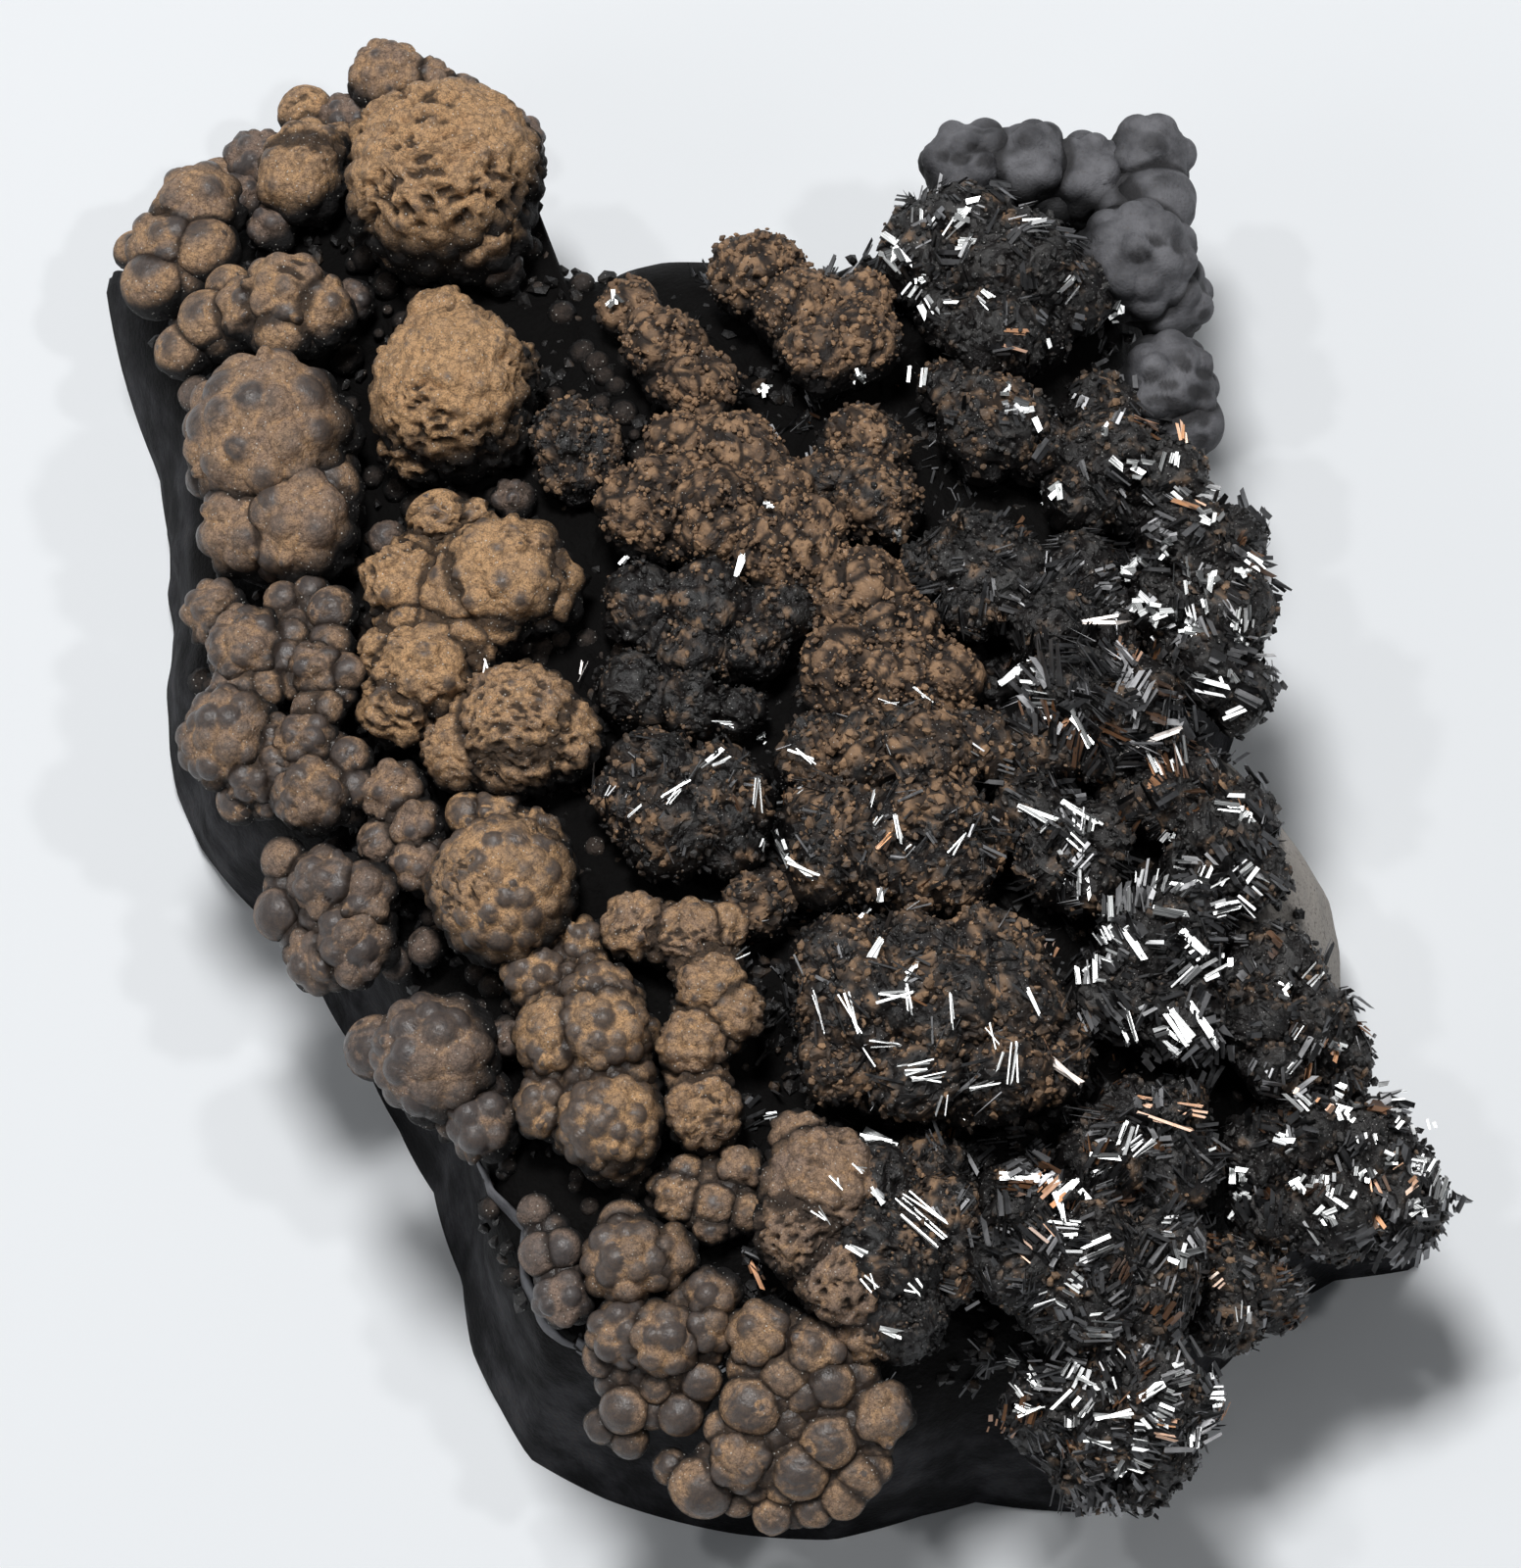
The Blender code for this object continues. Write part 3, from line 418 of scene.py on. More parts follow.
# Each clump: coat from grey to golden, radius and rise of its buds, how much of a bud its
# dark crown covers, depth and size of its pits, glossy beads to a ball, and its lobes as
# across, up, radius.
ROMANECHITE = {
    "01": (0.45, 0.7, 0.12, 0.3, 0.15, 0.6, 0, [
        (-19.3, 36.5, 1.9), (-17.2, 36.3, 1.3), (-15.4, 35.8, 1.0)]),
    "02": (0.80, 1.0, 0.16, 0.15, 0.55, 0.62, 7, [
        (-16.2, 31.0, 4.5), (-18.5, 33.0, 2.4), (-17.7, 27.8, 1.8), (-14.6, 28.6, 2.6),
        (-13.9, 32.4, 2.4)]),
    "03": (0.72, 1.1, 0.08, 0.3, 0.10, 0.5, 1, [
        (-23.6, 31.3, 2.2), (-23.6, 32.1, 2.1), (-23.6, 34.9, 1.3), (-21.9, 33.4, 0.9)]),
    "04": (0.48, 1.2, 0.14, 0.5, 0.08, 0.7, 1, [
        (-29.2, 29.7, 2.2), (-30.6, 27.8, 1.9), (-28.7, 27.5, 1.6), (-31.2, 25.8, 1.6),
        (-32.4, 27.6, 1.0), (-28.1, 31.2, 1.2)]),
    "05": (0.55, 1.1, 0.14, 0.5, 0.12, 0.7, 2, [
        (-24.3, 24.9, 2.2), (-22.7, 24.2, 1.8), (-26.2, 24.4, 1.7), (-24.4, 23.3, 1.5),
        (-28.4, 23.8, 1.5), (-29.8, 22.3, 1.3), (-27.4, 25.6, 1.1)]),
    "06": (0.46, 1.35, 0.26, 0.55, 0.05, 0.7, 3, [
        (-25.1, 17.7, 3.9), (-27.3, 16.4, 2.0), (-22.9, 17.6, 2.2), (-26.0, 13.0, 2.5),
        (-23.3, 13.1, 2.6), (-22.1, 15.0, 1.6)]),
    "07": (0.85, 0.9, 0.14, 0.15, 0.50, 0.52, 8, [
        (-15.7, 20.0, 3.8), (-17.2, 17.7, 2.2), (-14.0, 18.3, 2.1), (-16.4, 23.5, 1.8),
        (-13.0, 20.8, 1.8)]),
    "08": (0.80, 1.2, 0.18, 0.3, 0.36, 0.48, 8, [
        (-13.0, 10.5, 2.9), (-14.9, 9.6, 2.1), (-11.2, 10.0, 2.1), (-13.3, 8.6, 1.7),
        (-18.2, 10.2, 1.9), (-17.1, 5.6, 2.3), (-18.2, 3.9, 2.0), (-18.9, 6.6, 1.4),
        (-16.4, 13.4, 1.5), (-14.6, 13.5, 1.0)]),
    "09": (0.66, 0.55, 0.14, 0.25, 0.32, 0.42, 9, [
        (-12.2, 3.0, 2.8), (-15.2, 1.6, 1.8), (-10.3, 2.3, 2.1), (-14.3, 3.8, 1.6),
        (-12.3, 1.8, 2.3)]),
    "10": (0.42, 0.85, 0.22, 0.75, 0.08, 0.5, 1, [
        (-27.8, 8.8, 1.5), (-24.3, 9.3, 1.0), (-22.9, 9.7, 0.9), (-21.8, 8.8, 1.2),
        (-26.0, 6.9, 1.9), (-23.8, 7.5, 0.9), (-22.5, 5.7, 1.3), (-21.0, 5.6, 1.0),
        (-25.1, 4.9, 1.0), (-27.0, 2.3, 2.3), (-25.6, 0.3, 1.4), (-26.5, -0.9, 1.1),
        (-23.0, 2.2, 1.4), (-22.6, -0.6, 1.8), (-20.8, 1.3, 1.0), (-20.6, -0.2, 1.0),
        (-24.9, -0.9, 0.8), (-22.0, 3.8, 0.9)]),
    "11": (0.35, 0.8, 0.16, 0.5, 0.10, 0.5, 1, [
        (-17.5, -2.1, 1.3), (-17.3, -4.2, 1.3), (-19.3, -3.0, 1.1), (-18.6, -0.4, 1.5)]),
    "12": (0.78, 0.80, 0.12, 0.75, 0.18, 0.45, 6, [
        (-13.0, -5.4, 3.4), (-14.8, -1.6, 1.1), (-13.3, -1.6, 1.2), (-11.2, -2.9, 1.4),
        (-10.4, -4.2, 1.1), (-12.5, -7.0, 2.1), (-15.0, -5.3, 1.9)]),
    "13": (0.34, 1.0, 0.28, 0.95, 0.04, 0.5, 1, [
        (-24.2, -3.9, 1.1), (-22.0, -5.2, 1.7), (-20.0, -5.7, 1.5), (-24.4, -6.6, 1.2),
        (-20.5, -8.1, 1.9), (-22.3, -8.8, 1.6)]),
    "14": (0.30, 1.1, 0.22, 0.9, 0.06, 0.5, 2, [
        (-16.4, -13.8, 2.9), (-19.4, -13.4, 1.5), (-16.4, -15.5, 1.7), (-14.7, -14.1, 1.5),
        (-14.0, -17.2, 1.7)]),
    "15": (0.82, 0.74, 0.16, 0.82, 0.06, 0.5, 2, [
        (-8.0, -11.0, 1.9), (-10.1, -12.9, 2.0), (-8.0, -12.6, 2.3), (-6.7, -12.8, 1.5),
        (-7.6, -17.0, 2.4), (-10.8, -16.3, 1.5), (-7.3, -18.2, 1.8), (-11.3, -9.8, 1.5),
        (-9.0, -8.0, 1.2)]),
    "16": (0.55, 0.6, 0.16, 0.3, 0.22, 0.38, 2, [
        (-6.3, -7.3, 1.6), (-3.6, -7.7, 1.6), (-2.0, -7.4, 1.2), (-2.5, -10.3, 1.6),
        (-3.3, -13.1, 1.6), (-1.4, -11.4, 1.5), (-2.9, -16.6, 1.8)]),
    "17": (0.48, 0.8, 0.10, 0.4, 0.08, 0.4, 1, [
        (-4.1, -20.8, 1.2), (-2.3, -21.2, 1.1), (-3.7, -19.6, 0.9), (-5.0, -20.3, 0.7),
        (-2.5, -22.3, 0.9), (-1.1, -19.4, 1.2), (-0.7, -21.6, 1.0)]),
    "18": (0.55, 0.95, 0.26, 0.8, 0.03, 0.5, 0, [
        (-6.6, -24.0, 2.1), (-4.8, -23.8, 1.5), (-6.9, -22.3, 1.2), (-7.7, -24.0, 1.1)]),
    "19": (0.50, 0.85, 0.22, 0.8, 0.03, 0.5, 0, [
        (-6.9, -27.6, 1.6), (-5.0, -27.9, 1.7), (-2.5, -25.8, 1.4), (-2.8, -27.3, 1.3),
        (-7.9, -28.8, 1.0), (-5.2, -30.2, 0.9), (-3.0, -30.0, 1.0), (-6.8, -31.4, 1.2),
        (-4.0, -31.6, 1.1), (-7.9, -32.3, 0.9), (-6.6, -33.0, 0.9)]),
    "20": (0.52, 1.05, 0.14, 0.7, 0.06, 0.4, 1, [
        (0.1, -27.7, 1.7), (2.7, -28.5, 1.6), (4.1, -28.7, 1.0), (3.5, -30.1, 1.3),
        (1.3, -29.6, 1.3), (2.2, -30.7, 1.1), (-0.4, -31.2, 1.5), (0.8, -30.9, 1.0),
        (1.3, -32.0, 0.8), (-1.9, -32.4, 0.9), (-1.0, -33.9, 1.6), (3.4, -33.0, 1.4),
        (2.1, -34.5, 1.4), (4.9, -34.8, 1.2), (4.1, -35.7, 1.2), (1.2, -35.4, 0.9),
        (6.0, -31.6, 1.6), (5.6, -34.3, 1.0), (-4.5, -34.4, 0.9), (-2.9, -35.3, 1.5),
        (2.6, -36.4, 1.0), (0.7, -36.7, 1.0)]),
    "21": (0.05, 0.9, 0.12, 0.8, 0.06, 0.4, 0, [
        (-11.3, -21.6, 0.9), (-11.0, -23.7, 1.1), (-9.9, -25.9, 1.4), (-9.9, -23.4, 1.0)]),
    "22": (0.36, 0.8, 0.12, 0.1, 0.36, 0.38, 2, [
        (2.0, -17.9, 1.4), (3.2, -20.4, 2.9), (2.5, -22.4, 2.5), (4.4, -24.4, 2.6),
        (5.6, -27.2, 1.9)]),
}


def foot_plane(lobes):
    """Unit normal of the slab's slope under a clump, and the plane just over its top."""
    weights = lobes[:, 2] ** 2
    across, up = (lobes[:, :2] * weights[:, None]).sum(axis=0) / weights.sum()
    height = DOME_HEIGHT
    for _ in range(12):
        x, y = to_plan(across, up, height)
        height = float(dome(x, y)) + FOOT_TO_HEART
    step = 2.0
    slope_x = float(slab_top(x + step, y) - slab_top(x - step, y)) / (2.0 * step)
    slope_y = float(slab_top(x, y + step) - slab_top(x, y - step)) / (2.0 * step)
    limit = min(1.0, STEEPEST_FOOT / max(math.hypot(slope_x, slope_y), 1.0e-9))
    normal = np.array((-slope_x * limit, -slope_y * limit, 1.0))
    normal /= np.linalg.norm(normal)
    turns = np.arange(13) * math.pi / 6.0
    reach = np.where(np.arange(13) == 12, 0.0, 1.0) * lobes[:, 2:3]
    px, py = to_plan(lobes[:, 0:1] + reach * np.cos(turns),
                     lobes[:, 1:2] + reach * np.sin(turns), height)
    rim = np.stack((px, py, slab_top(px, py)), axis=-1) @ normal
    return normal, float(rim.max()) + FOOT_GAP


def place_lobes(lobes, swell):
    """Centres, radii, slope and level of a clump: its lobes rise towards its middle.

    A lobe's centre stands 0.28 x reach x (1 - (away / reach)^2) + 0.35 x radius above the
    clump's foot, where it meets the line of sight through the lobe's measured place.
    """
    lobes = np.array(lobes) * (1.0, 1.0, swell)
    normal, level = foot_plane(lobes)
    weights = lobes[:, 2] ** 2
    middle = (lobes[:, :2] * weights[:, None]).sum(axis=0) / weights.sum()
    away = np.hypot(lobes[:, 0] - middle[0], lobes[:, 1] - middle[1])
    reach = float((away + lobes[:, 2]).max())
    rise = LUMP_RISE * reach * (1.0 - (away / reach) ** 2) + LOBE_SEAT * lobes[:, 2]
    height = np.full(len(lobes), FACE_HEIGHT)
    for _ in range(30):
        x, y = to_plan(lobes[:, 0], lobes[:, 1], height)
        height = (level + rise - normal[0] * x - normal[1] * y) / normal[2]
    return np.stack((x, y, height), axis=1), lobes[:, 2], normal, level


def ball_grid(count):
    """Directions all over a ball, and its triangles.

    A square grid is bent into a disc, square rings into round ones, and the disc over the
    ball: the angle from its top is pi x (0.62 ring + 0.38 ring^6), so that the hidden
    underside takes few rows.  The rim of the square closes in one point below.
    """
    side = np.linspace(-1.0, 1.0, count + 1)
    u, v = np.meshgrid(side, side, indexing="ij")
    wide = np.abs(u) > np.abs(v)
    ring = np.maximum(np.abs(u), np.abs(v))
    safe_u = np.where(u == 0.0, 1.0, u)
    safe_v = np.where(v == 0.0, 1.0, v)
    turn = np.where(wide, math.pi / 4.0 * v / safe_u, math.pi / 2.0 - math.pi / 4.0 * u / safe_v)
    turn = turn + np.where(np.where(wide, u, v) < 0.0, math.pi, 0.0)
    down = math.pi * (0.62 * ring + 0.38 * ring ** 6)
    ways = np.stack((np.sin(down) * np.cos(turn), np.sin(down) * np.sin(turn), np.cos(down)), -1)
    inner = ring.ravel() < 1.0 - 1.0e-9
    index = np.where(inner, np.cumsum(inner) - 1, inner.sum()).reshape(ring.shape)
    a, b = index[:-1, :-1].ravel(), index[1:, :-1].ravel()
    c, d = index[1:, 1:].ravel(), index[:-1, 1:].ravel()
    corners = np.concatenate((np.stack((a, b, c), 1), np.stack((a, c, d), 1)))
    whole = (corners[:, 0] != corners[:, 1]) & (corners[:, 1] != corners[:, 2])
    corners = corners[whole & (corners[:, 2] != corners[:, 0])]
    return np.vstack((ways.reshape(-1, 3)[inner], ((0.0, 0.0, -1.0),))), corners


def upright(normal, spin):
    """Three axes as rows: the last is the normal, the others turn round it by the spin."""
    first = np.cross(normal, (0.0, 1.0, 0.2))
    first /= np.linalg.norm(first)
    second = np.cross(normal, first)
    return np.stack((first * math.cos(spin) + second * math.sin(spin),
                     second * math.cos(spin) - first * math.sin(spin), normal))


def spread_ways(count, draws):
    """Directions evenly over a ball on a golden spiral, each shaken a little."""
    k = np.arange(count) + 0.5
    down = np.arccos(1.0 - 2.0 * k / count)
    turn = 2.399963 * k
    ways = np.stack((np.sin(down) * np.cos(turn), np.sin(down) * np.sin(turn), np.cos(down)), 1)
    ways = ways + draws.normal(0.0, 0.45 / math.sqrt(count), ways.shape)
    return ways / np.linalg.norm(ways, axis=1)[:, None]


def grain_cells(points, size, salt):
    """Distances, in grain sizes, to the nearest and the next centre, and a grain's tone.

    Each cell of a cubic lattice holds one centre, shifted by a hash of the cell.  The
    nearest centre's shift along x serves as its grain's tone.
    """
    scaled = points / size
    home = np.floor(scaled).astype(np.int64)
    nearest = np.full(len(points), 9.0)
    second = np.full(len(points), 9.0)
    tone = np.zeros(len(points))
    for step in np.ndindex(3, 3, 3):
        cell = home + np.array(step) - 1
        shift = scatter(cell, salt)
        gap = np.sqrt(((cell + shift - scaled) ** 2).sum(axis=1))
        tone = np.where(gap < nearest, shift[:, 0], tone)
        second = np.minimum(second, np.maximum(gap, nearest))
        nearest = np.minimum(nearest, gap)
    return nearest, second, tone


def bud_relief(ways, radius, bud, rise, crown, beads, draws):
    """Height of the buds over a ball, closeness to a bud's crown, closeness to a seam.

    Each bud is a paraboloid: its own rise less the squared distance from its axis over
    twice its radius.  The highest one counts, and a seam lies where two are level.
    """
    count = max(1, round(4.0 * math.pi * radius ** 2 / (BUD_SHARE * bud ** 2)))
    single = count < FEWEST_BUDS
    if single:
        axes = np.array(((0.0, 0.0, 1.0), (0.0, 0.0, -1.0)))
        axes[0, :2] = draws.normal(0.0, 0.18, 2)
        axes[0] /= np.linalg.norm(axes[0])
    else:
        axes = spread_ways(count, draws)
    sizes = bud * draws.uniform(0.8, 1.25, len(axes))
    rises = rise * draws.uniform(0.4, 1.2, len(axes))
    if single:
        sizes[:] = radius
        rises[:] = 0.0
    dark = draws.uniform(0.35, 1.0, len(axes))
    if beads:
        bead_axes = spread_ways(beads * 2, draws)
        axes = np.vstack((axes, bead_axes))
        sizes = np.append(sizes, draws.uniform(*BEAD_SIZES, len(bead_axes)))
        rises = np.append(rises, rise + draws.uniform(*BEAD_RISES, len(bead_axes)))
        dark = np.append(dark, np.full(len(bead_axes), 1.3))
    square = 2.0 * radius ** 2 * (1.0 - ways @ axes.T)
    heights = rises - square / (2.0 * sizes)
    best = heights.argmax(axis=1)
    top = heights.max(axis=1)
    heights[np.arange(len(ways)), best] = -99.0
    runner = heights.max(axis=1)
    away = np.sqrt(np.maximum(square[np.arange(len(ways)), best], 0.0)) / sizes[best]
    crowned = np.clip((1.1 * crown - away) / 0.60 + 0.5, 0.0, 1.0) * dark[best]
    seam = np.clip(1.0 - (top - runner) / 0.10, 0.0, 1.0)
    floor = np.zeros(len(ways)) if single else np.maximum(top, DEEPEST_SEAM)
    return floor, crowned, seam


def bud_skin(bud, rise, crown, pit_depth, pit_size, beads):
    """The skin of a smooth ball: slow swellings and buds, less winding pits.

    A pit is a dent about a grain's centre; the grains are drawn out to twice their length
    and bent by noise, and they fade out in patches.
    """
    def skin(grid, places, radius, draws):
        relief, crowned, seam = bud_relief(grid, radius, bud, rise, crown, beads, draws)
        relief = relief + 0.07 * radius * rolling(places, 0.9 * radius, 11)
        warp = np.stack([rolling(places, 1.6 * pit_size, salt) for salt in (21, 22, 23)], axis=1)
        drawn = (places + 0.5 * pit_size * warp) * (0.5, 1.0, 1.0)
        near, _, _ = grain_cells(drawn, pit_size, 7)
        patch = np.clip(0.60 + 1.6 * rolling(places, 3.2, 31), 0.15, 1.0)
        pits = np.clip((0.56 - near) / 0.24, 0.0, 1.0) * patch
        relief = relief - pit_depth * pits
        # Pits and part of the seams become the hollow value, painted shade; deeper pits are darker.
        pits = pits * min(1.0, pit_depth / 0.12)
        return relief, crowned * (1.0 - pits), np.maximum(pits, 0.30 * seam), 0.30 * seam
    return skin


def fill_between(centres, radii, normal):
    """Smaller, lower balls half-way between close pairs, where they have grown together."""
    first, second = np.triu_indices(len(radii), 1)
    apart = np.linalg.norm(centres[first] - centres[second], axis=1)
    close = apart < FILL_REACH * (radii[first] + radii[second])
    first, second = first[close], second[close]
    small = np.minimum(radii[first], radii[second])
    middle = 0.5 * (centres[first] + centres[second]) - FILL_SINK * small[:, None] * normal
    inside = np.linalg.norm(middle[:, None] - centres, axis=2) + FILL_WIDTH * small[:, None]
    keep = (inside > radii).all(axis=1)
    return middle[keep], FILL_WIDTH * small[keep]


def with_fill(placed):
    """A clump's balls followed by the fill between them, with its slope and level."""
    centres, radii, normal, level = placed
    middles, sizes = fill_between(centres, radii, normal)
    return np.concatenate((centres, middles)), np.concatenate((radii, sizes)), normal, level


def grow_clump(number, placed, coat, skin, step):
    """All the balls of one clump as one mesh's places, triangles and finish.

    A ball's radius is its lobe's plus the relief that the skin function gives.  The
    finish holds crown, hollow, flank and coat; hollow and flank carry painted shade.
    """
    own = len(placed[1])
    centres, radii, normal, level = with_fill(placed)
    draws = np.random.default_rng(number)
    meshes = []
    for k, (centre, radius) in enumerate(zip(centres, radii)):
        fineness = step if k < own else 1.5 * step
        grid, corners = ball_grid(max(10, math.ceil(3.9 * radius / fineness)))
        ways = grid @ upright(normal, draws.uniform(0.0, 6.28))
        relief, crowned, hollow, warmth = skin(grid, centre + ways * radius, radius, draws)
        places = centre + ways * (radius + relief)[:, None]
        if len(radii) > 1:
            others = np.delete(np.arange(len(radii)), k)
            gap = np.linalg.norm(places[:, None, :] - centres[others], axis=2)
            # Painted shade: the skin is marked darker in the crease where another ball comes near.
            crease_shade = np.clip(1.0 - (gap - radii[others]).min(axis=1) / 0.45, 0.0, 1.0)
            hollow = np.maximum(crease_shade, hollow)
        facing = ways @ normal
        # The flank value falls low on the clump and where the skin faces away from its top: dark
        # ore and painted shade.
        above = np.clip((places @ normal - level) / 2.4, 0.0, 1.0)
        flank = above * np.clip(0.10 + 1.35 * facing, 0.0, 1.0)
        crowned = crowned * np.clip(2.2 * facing, 0.0, 1.0)
        coats = np.clip(coat + warmth, 0.0, 1.0)
        meshes.append((places, corners, np.stack((crowned, hollow, flank, coats), axis=1)))
    return join(*meshes)


def join(*meshes):
    """Several meshes' places, triangles and finish as one."""
    starts = np.cumsum([0] + [len(mesh[0]) for mesh in meshes[:-1]])
    corners = [mesh[1] + start for mesh, start in zip(meshes, starts)]
    return (np.concatenate([mesh[0] for mesh in meshes]), np.concatenate(corners),
            np.concatenate([mesh[2] for mesh in meshes]))


def coat_finish():
    """Brown velvet over dark ore: golden to grey-brown, dark glossy crowns, painted shade in
    hollows.
    """
    material, tree, shader, place = start_finish("romanechite_coat")
    crown, hollow, flank, coat = read_finish(tree)
    cloud = speckle(tree, place, 0.55, 3.0)
    mottle = speckle(tree, place, 2.6, 4.0, 0.6)
    fine = speckle(tree, place, 11.0, 3.0, 0.65)
    warm = (coat + (cloud - 0.5) * 0.9 + (mottle - 0.5) * 0.5).rise(0.10, 1.0)
    body = blend(tree, COAT_GREY, COAT_GOLD, warm)
    body = blend(tree, body, COAT_RUST, mottle.rise(0.58, 0.74) * warm * 0.45)
    body = blend(tree, body, COAT_SPECKS, fine.rise(0.44, 0.66) * 0.60)
    cells = grains(tree, place, 2.9)
    body = blend(tree, body, COAT_SPECKS, cells.rise(0.42, 0.80) * 0.45)
    worn = (crown + (mottle - 0.5) * 0.6).rise(0.10, 0.72)
    tone = blend(tree, body, CROWN_GREY, worn * 0.86)
    # Painted shade: hollows, pits and creases turn dark brown.
    hollow_shade = (hollow + (mottle - 0.5) * 0.6).rise(0.30, 0.95)
    tone = blend(tree, tone, HOLLOW_SHADE_BROWN, hollow_shade * 0.88)
    # The low flanks go near black: partly bare dark ore under the coat, partly painted shade.
    tone = blend(tree, FLANK_ORE_AND_SHADE, tone, (flank + (cloud - 0.5) * 0.4).rise(0.15, 0.95))
    # Painted glints: white specks off the worn crowns, for the sparkle of tiny crystals.
    painted_glints = grains(tree, place, 3.6).rise(0.20, 0.10) * fine.rise(0.45, 0.53)
    tone = blend(tree, tone, GLINT_WHITE, painted_glints * (1.0 - worn) * 0.75)
    relief = (fine * 1.4 - cells * 1.2) * (1.0 - worn * 0.8) + mottle * 0.8
    connect(tree, shader, relief, 0.075, Base_Color=tone, Roughness=0.74 - worn * 0.44)
    shader.inputs["Specular IOR Level"].default_value = 0.45
    return material


grown = []
coated = coat_finish()
for number, (code, growth) in enumerate(ROMANECHITE.items(), start=1):
    coat, *skin_sizes, lobes = growth
    placed = place_lobes(lobes, BALL_SWELL)
    grown.append(placed)
    mesh = grow_clump(number, placed, coat, bud_skin(*skin_sizes), BALL_STEP)
    clump = add_piece(f"romanechite_balls_{code}", *mesh, coated)
    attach(clump, "root")
    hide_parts(f"romanechite_cluster_{code}")

# The knobs at the upper right: smooth bare romanechite without its brown coat, matt and
# dark grey, grown over the shoulder of the slab.

KNOBS = {
    "01": [(10.8, 31.8, 2.1), (13.8, 31.9, 2.0), (16.8, 31.3, 1.9)],
    "02": [(20.0, 32.2, 1.9), (20.3, 29.9, 1.7), (19.2, 26.8, 2.6), (21.0, 25.0, 1.9)],
    "03": [(20.9, 20.4, 2.2), (21.8, 18.4, 1.6)],
}
KNOB_SWELL = 1.25
KNOB_SKIN = (1.3, 0.20, 0.0, 0.10, 1.1, 0)

KNOB_DARK = (0.070, 0.070, 0.077)
KNOB_PALE = (0.190, 0.190, 0.205)
KNOB_BROWN = (0.075, 0.060, 0.052)
# Painted shade: between the knobs and low on their flanks.
KNOB_SEAM_SHADE = (0.018, 0.017, 0.018)
KNOB_FLANK_SHADE = (0.012, 0.012, 0.013)


def knob_finish():
    """Matt grey stone, cloudy, with painted shade between the knobs and low on their flanks."""
    material, tree, shader, place = start_finish("bare_romanechite")
    _, hollow, flank, _ = read_finish(tree)
    cloud = speckle(tree, place, 0.5, 4.0)
    fine = speckle(tree, place, 6.0, 4.0, 0.6)
    tone = blend(tree, KNOB_DARK, KNOB_PALE, cloud.rise(0.3, 0.7))
    tone = blend(tree, tone, KNOB_BROWN, fine.rise(0.55, 0.75) * 0.5)
    # Painted shade between the knobs and low on their flanks.
    tone = blend(tree, tone, KNOB_SEAM_SHADE, hollow.rise(0.15, 0.9) * 0.8)
    tone = blend(tree, KNOB_FLANK_SHADE, tone, flank.rise(0.05, 0.8))
    connect(tree, shader, fine + cloud * 0.6, 0.07, Base_Color=tone, Roughness=0.85 - fine * 0.3)
    shader.inputs["Specular IOR Level"].default_value = 0.35
    return material


bare = knob_finish()
for number, (code, lobes) in enumerate(KNOBS.items(), start=41):
    placed = place_lobes(lobes, KNOB_SWELL)
    grown.append(placed)
    mesh = grow_clump(number, placed, 0.0, bud_skin(*KNOB_SKIN), BALL_STEP)
    knobs = add_piece(f"bare_knobs_{code}", *mesh, bare)
    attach(knobs, "root")
    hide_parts(f"romanechite_knobs_{code}")

# The rough clumps along the middle: romanechite gone over to crumbs, brown and loose to
# the eye, with a painted white glint here and there.  Each ball is lumps set with crumbs.

CRUST_SWELL = 1.34
BENEATH_CRUMBS = 0.84
CRUMB_STEP = 0.18

# Loose crumbs: the size of crumb whose relief they lie on, how many to the square
# millimetre, their size as a share of the clump's own crumbs, and how flat they are.
ANCHOR_CRUMB = 0.5
LOOSE_COVER = 6.5
LOOSE_SIZE = 0.28
LOOSE_FLAT = 0.8

CRUMB_BROWNS = ((0.130, 0.082, 0.054), (0.430, 0.262, 0.148))
CRUMB_BLACKS = ((0.010, 0.010, 0.010), (0.060, 0.057, 0.055))
# Painted shade: between the crumbs and low on the clumps' flanks.
CRUMB_GAP_SHADE = (0.007, 0.005, 0.005)
CRUMB_FLANK_SHADE = (0.004, 0.003, 0.003)
# Painted glints: white specks standing in for the sparkle of tiny crystals.
CRUMB_GLINT_WHITE = (0.85, 0.83, 0.80)

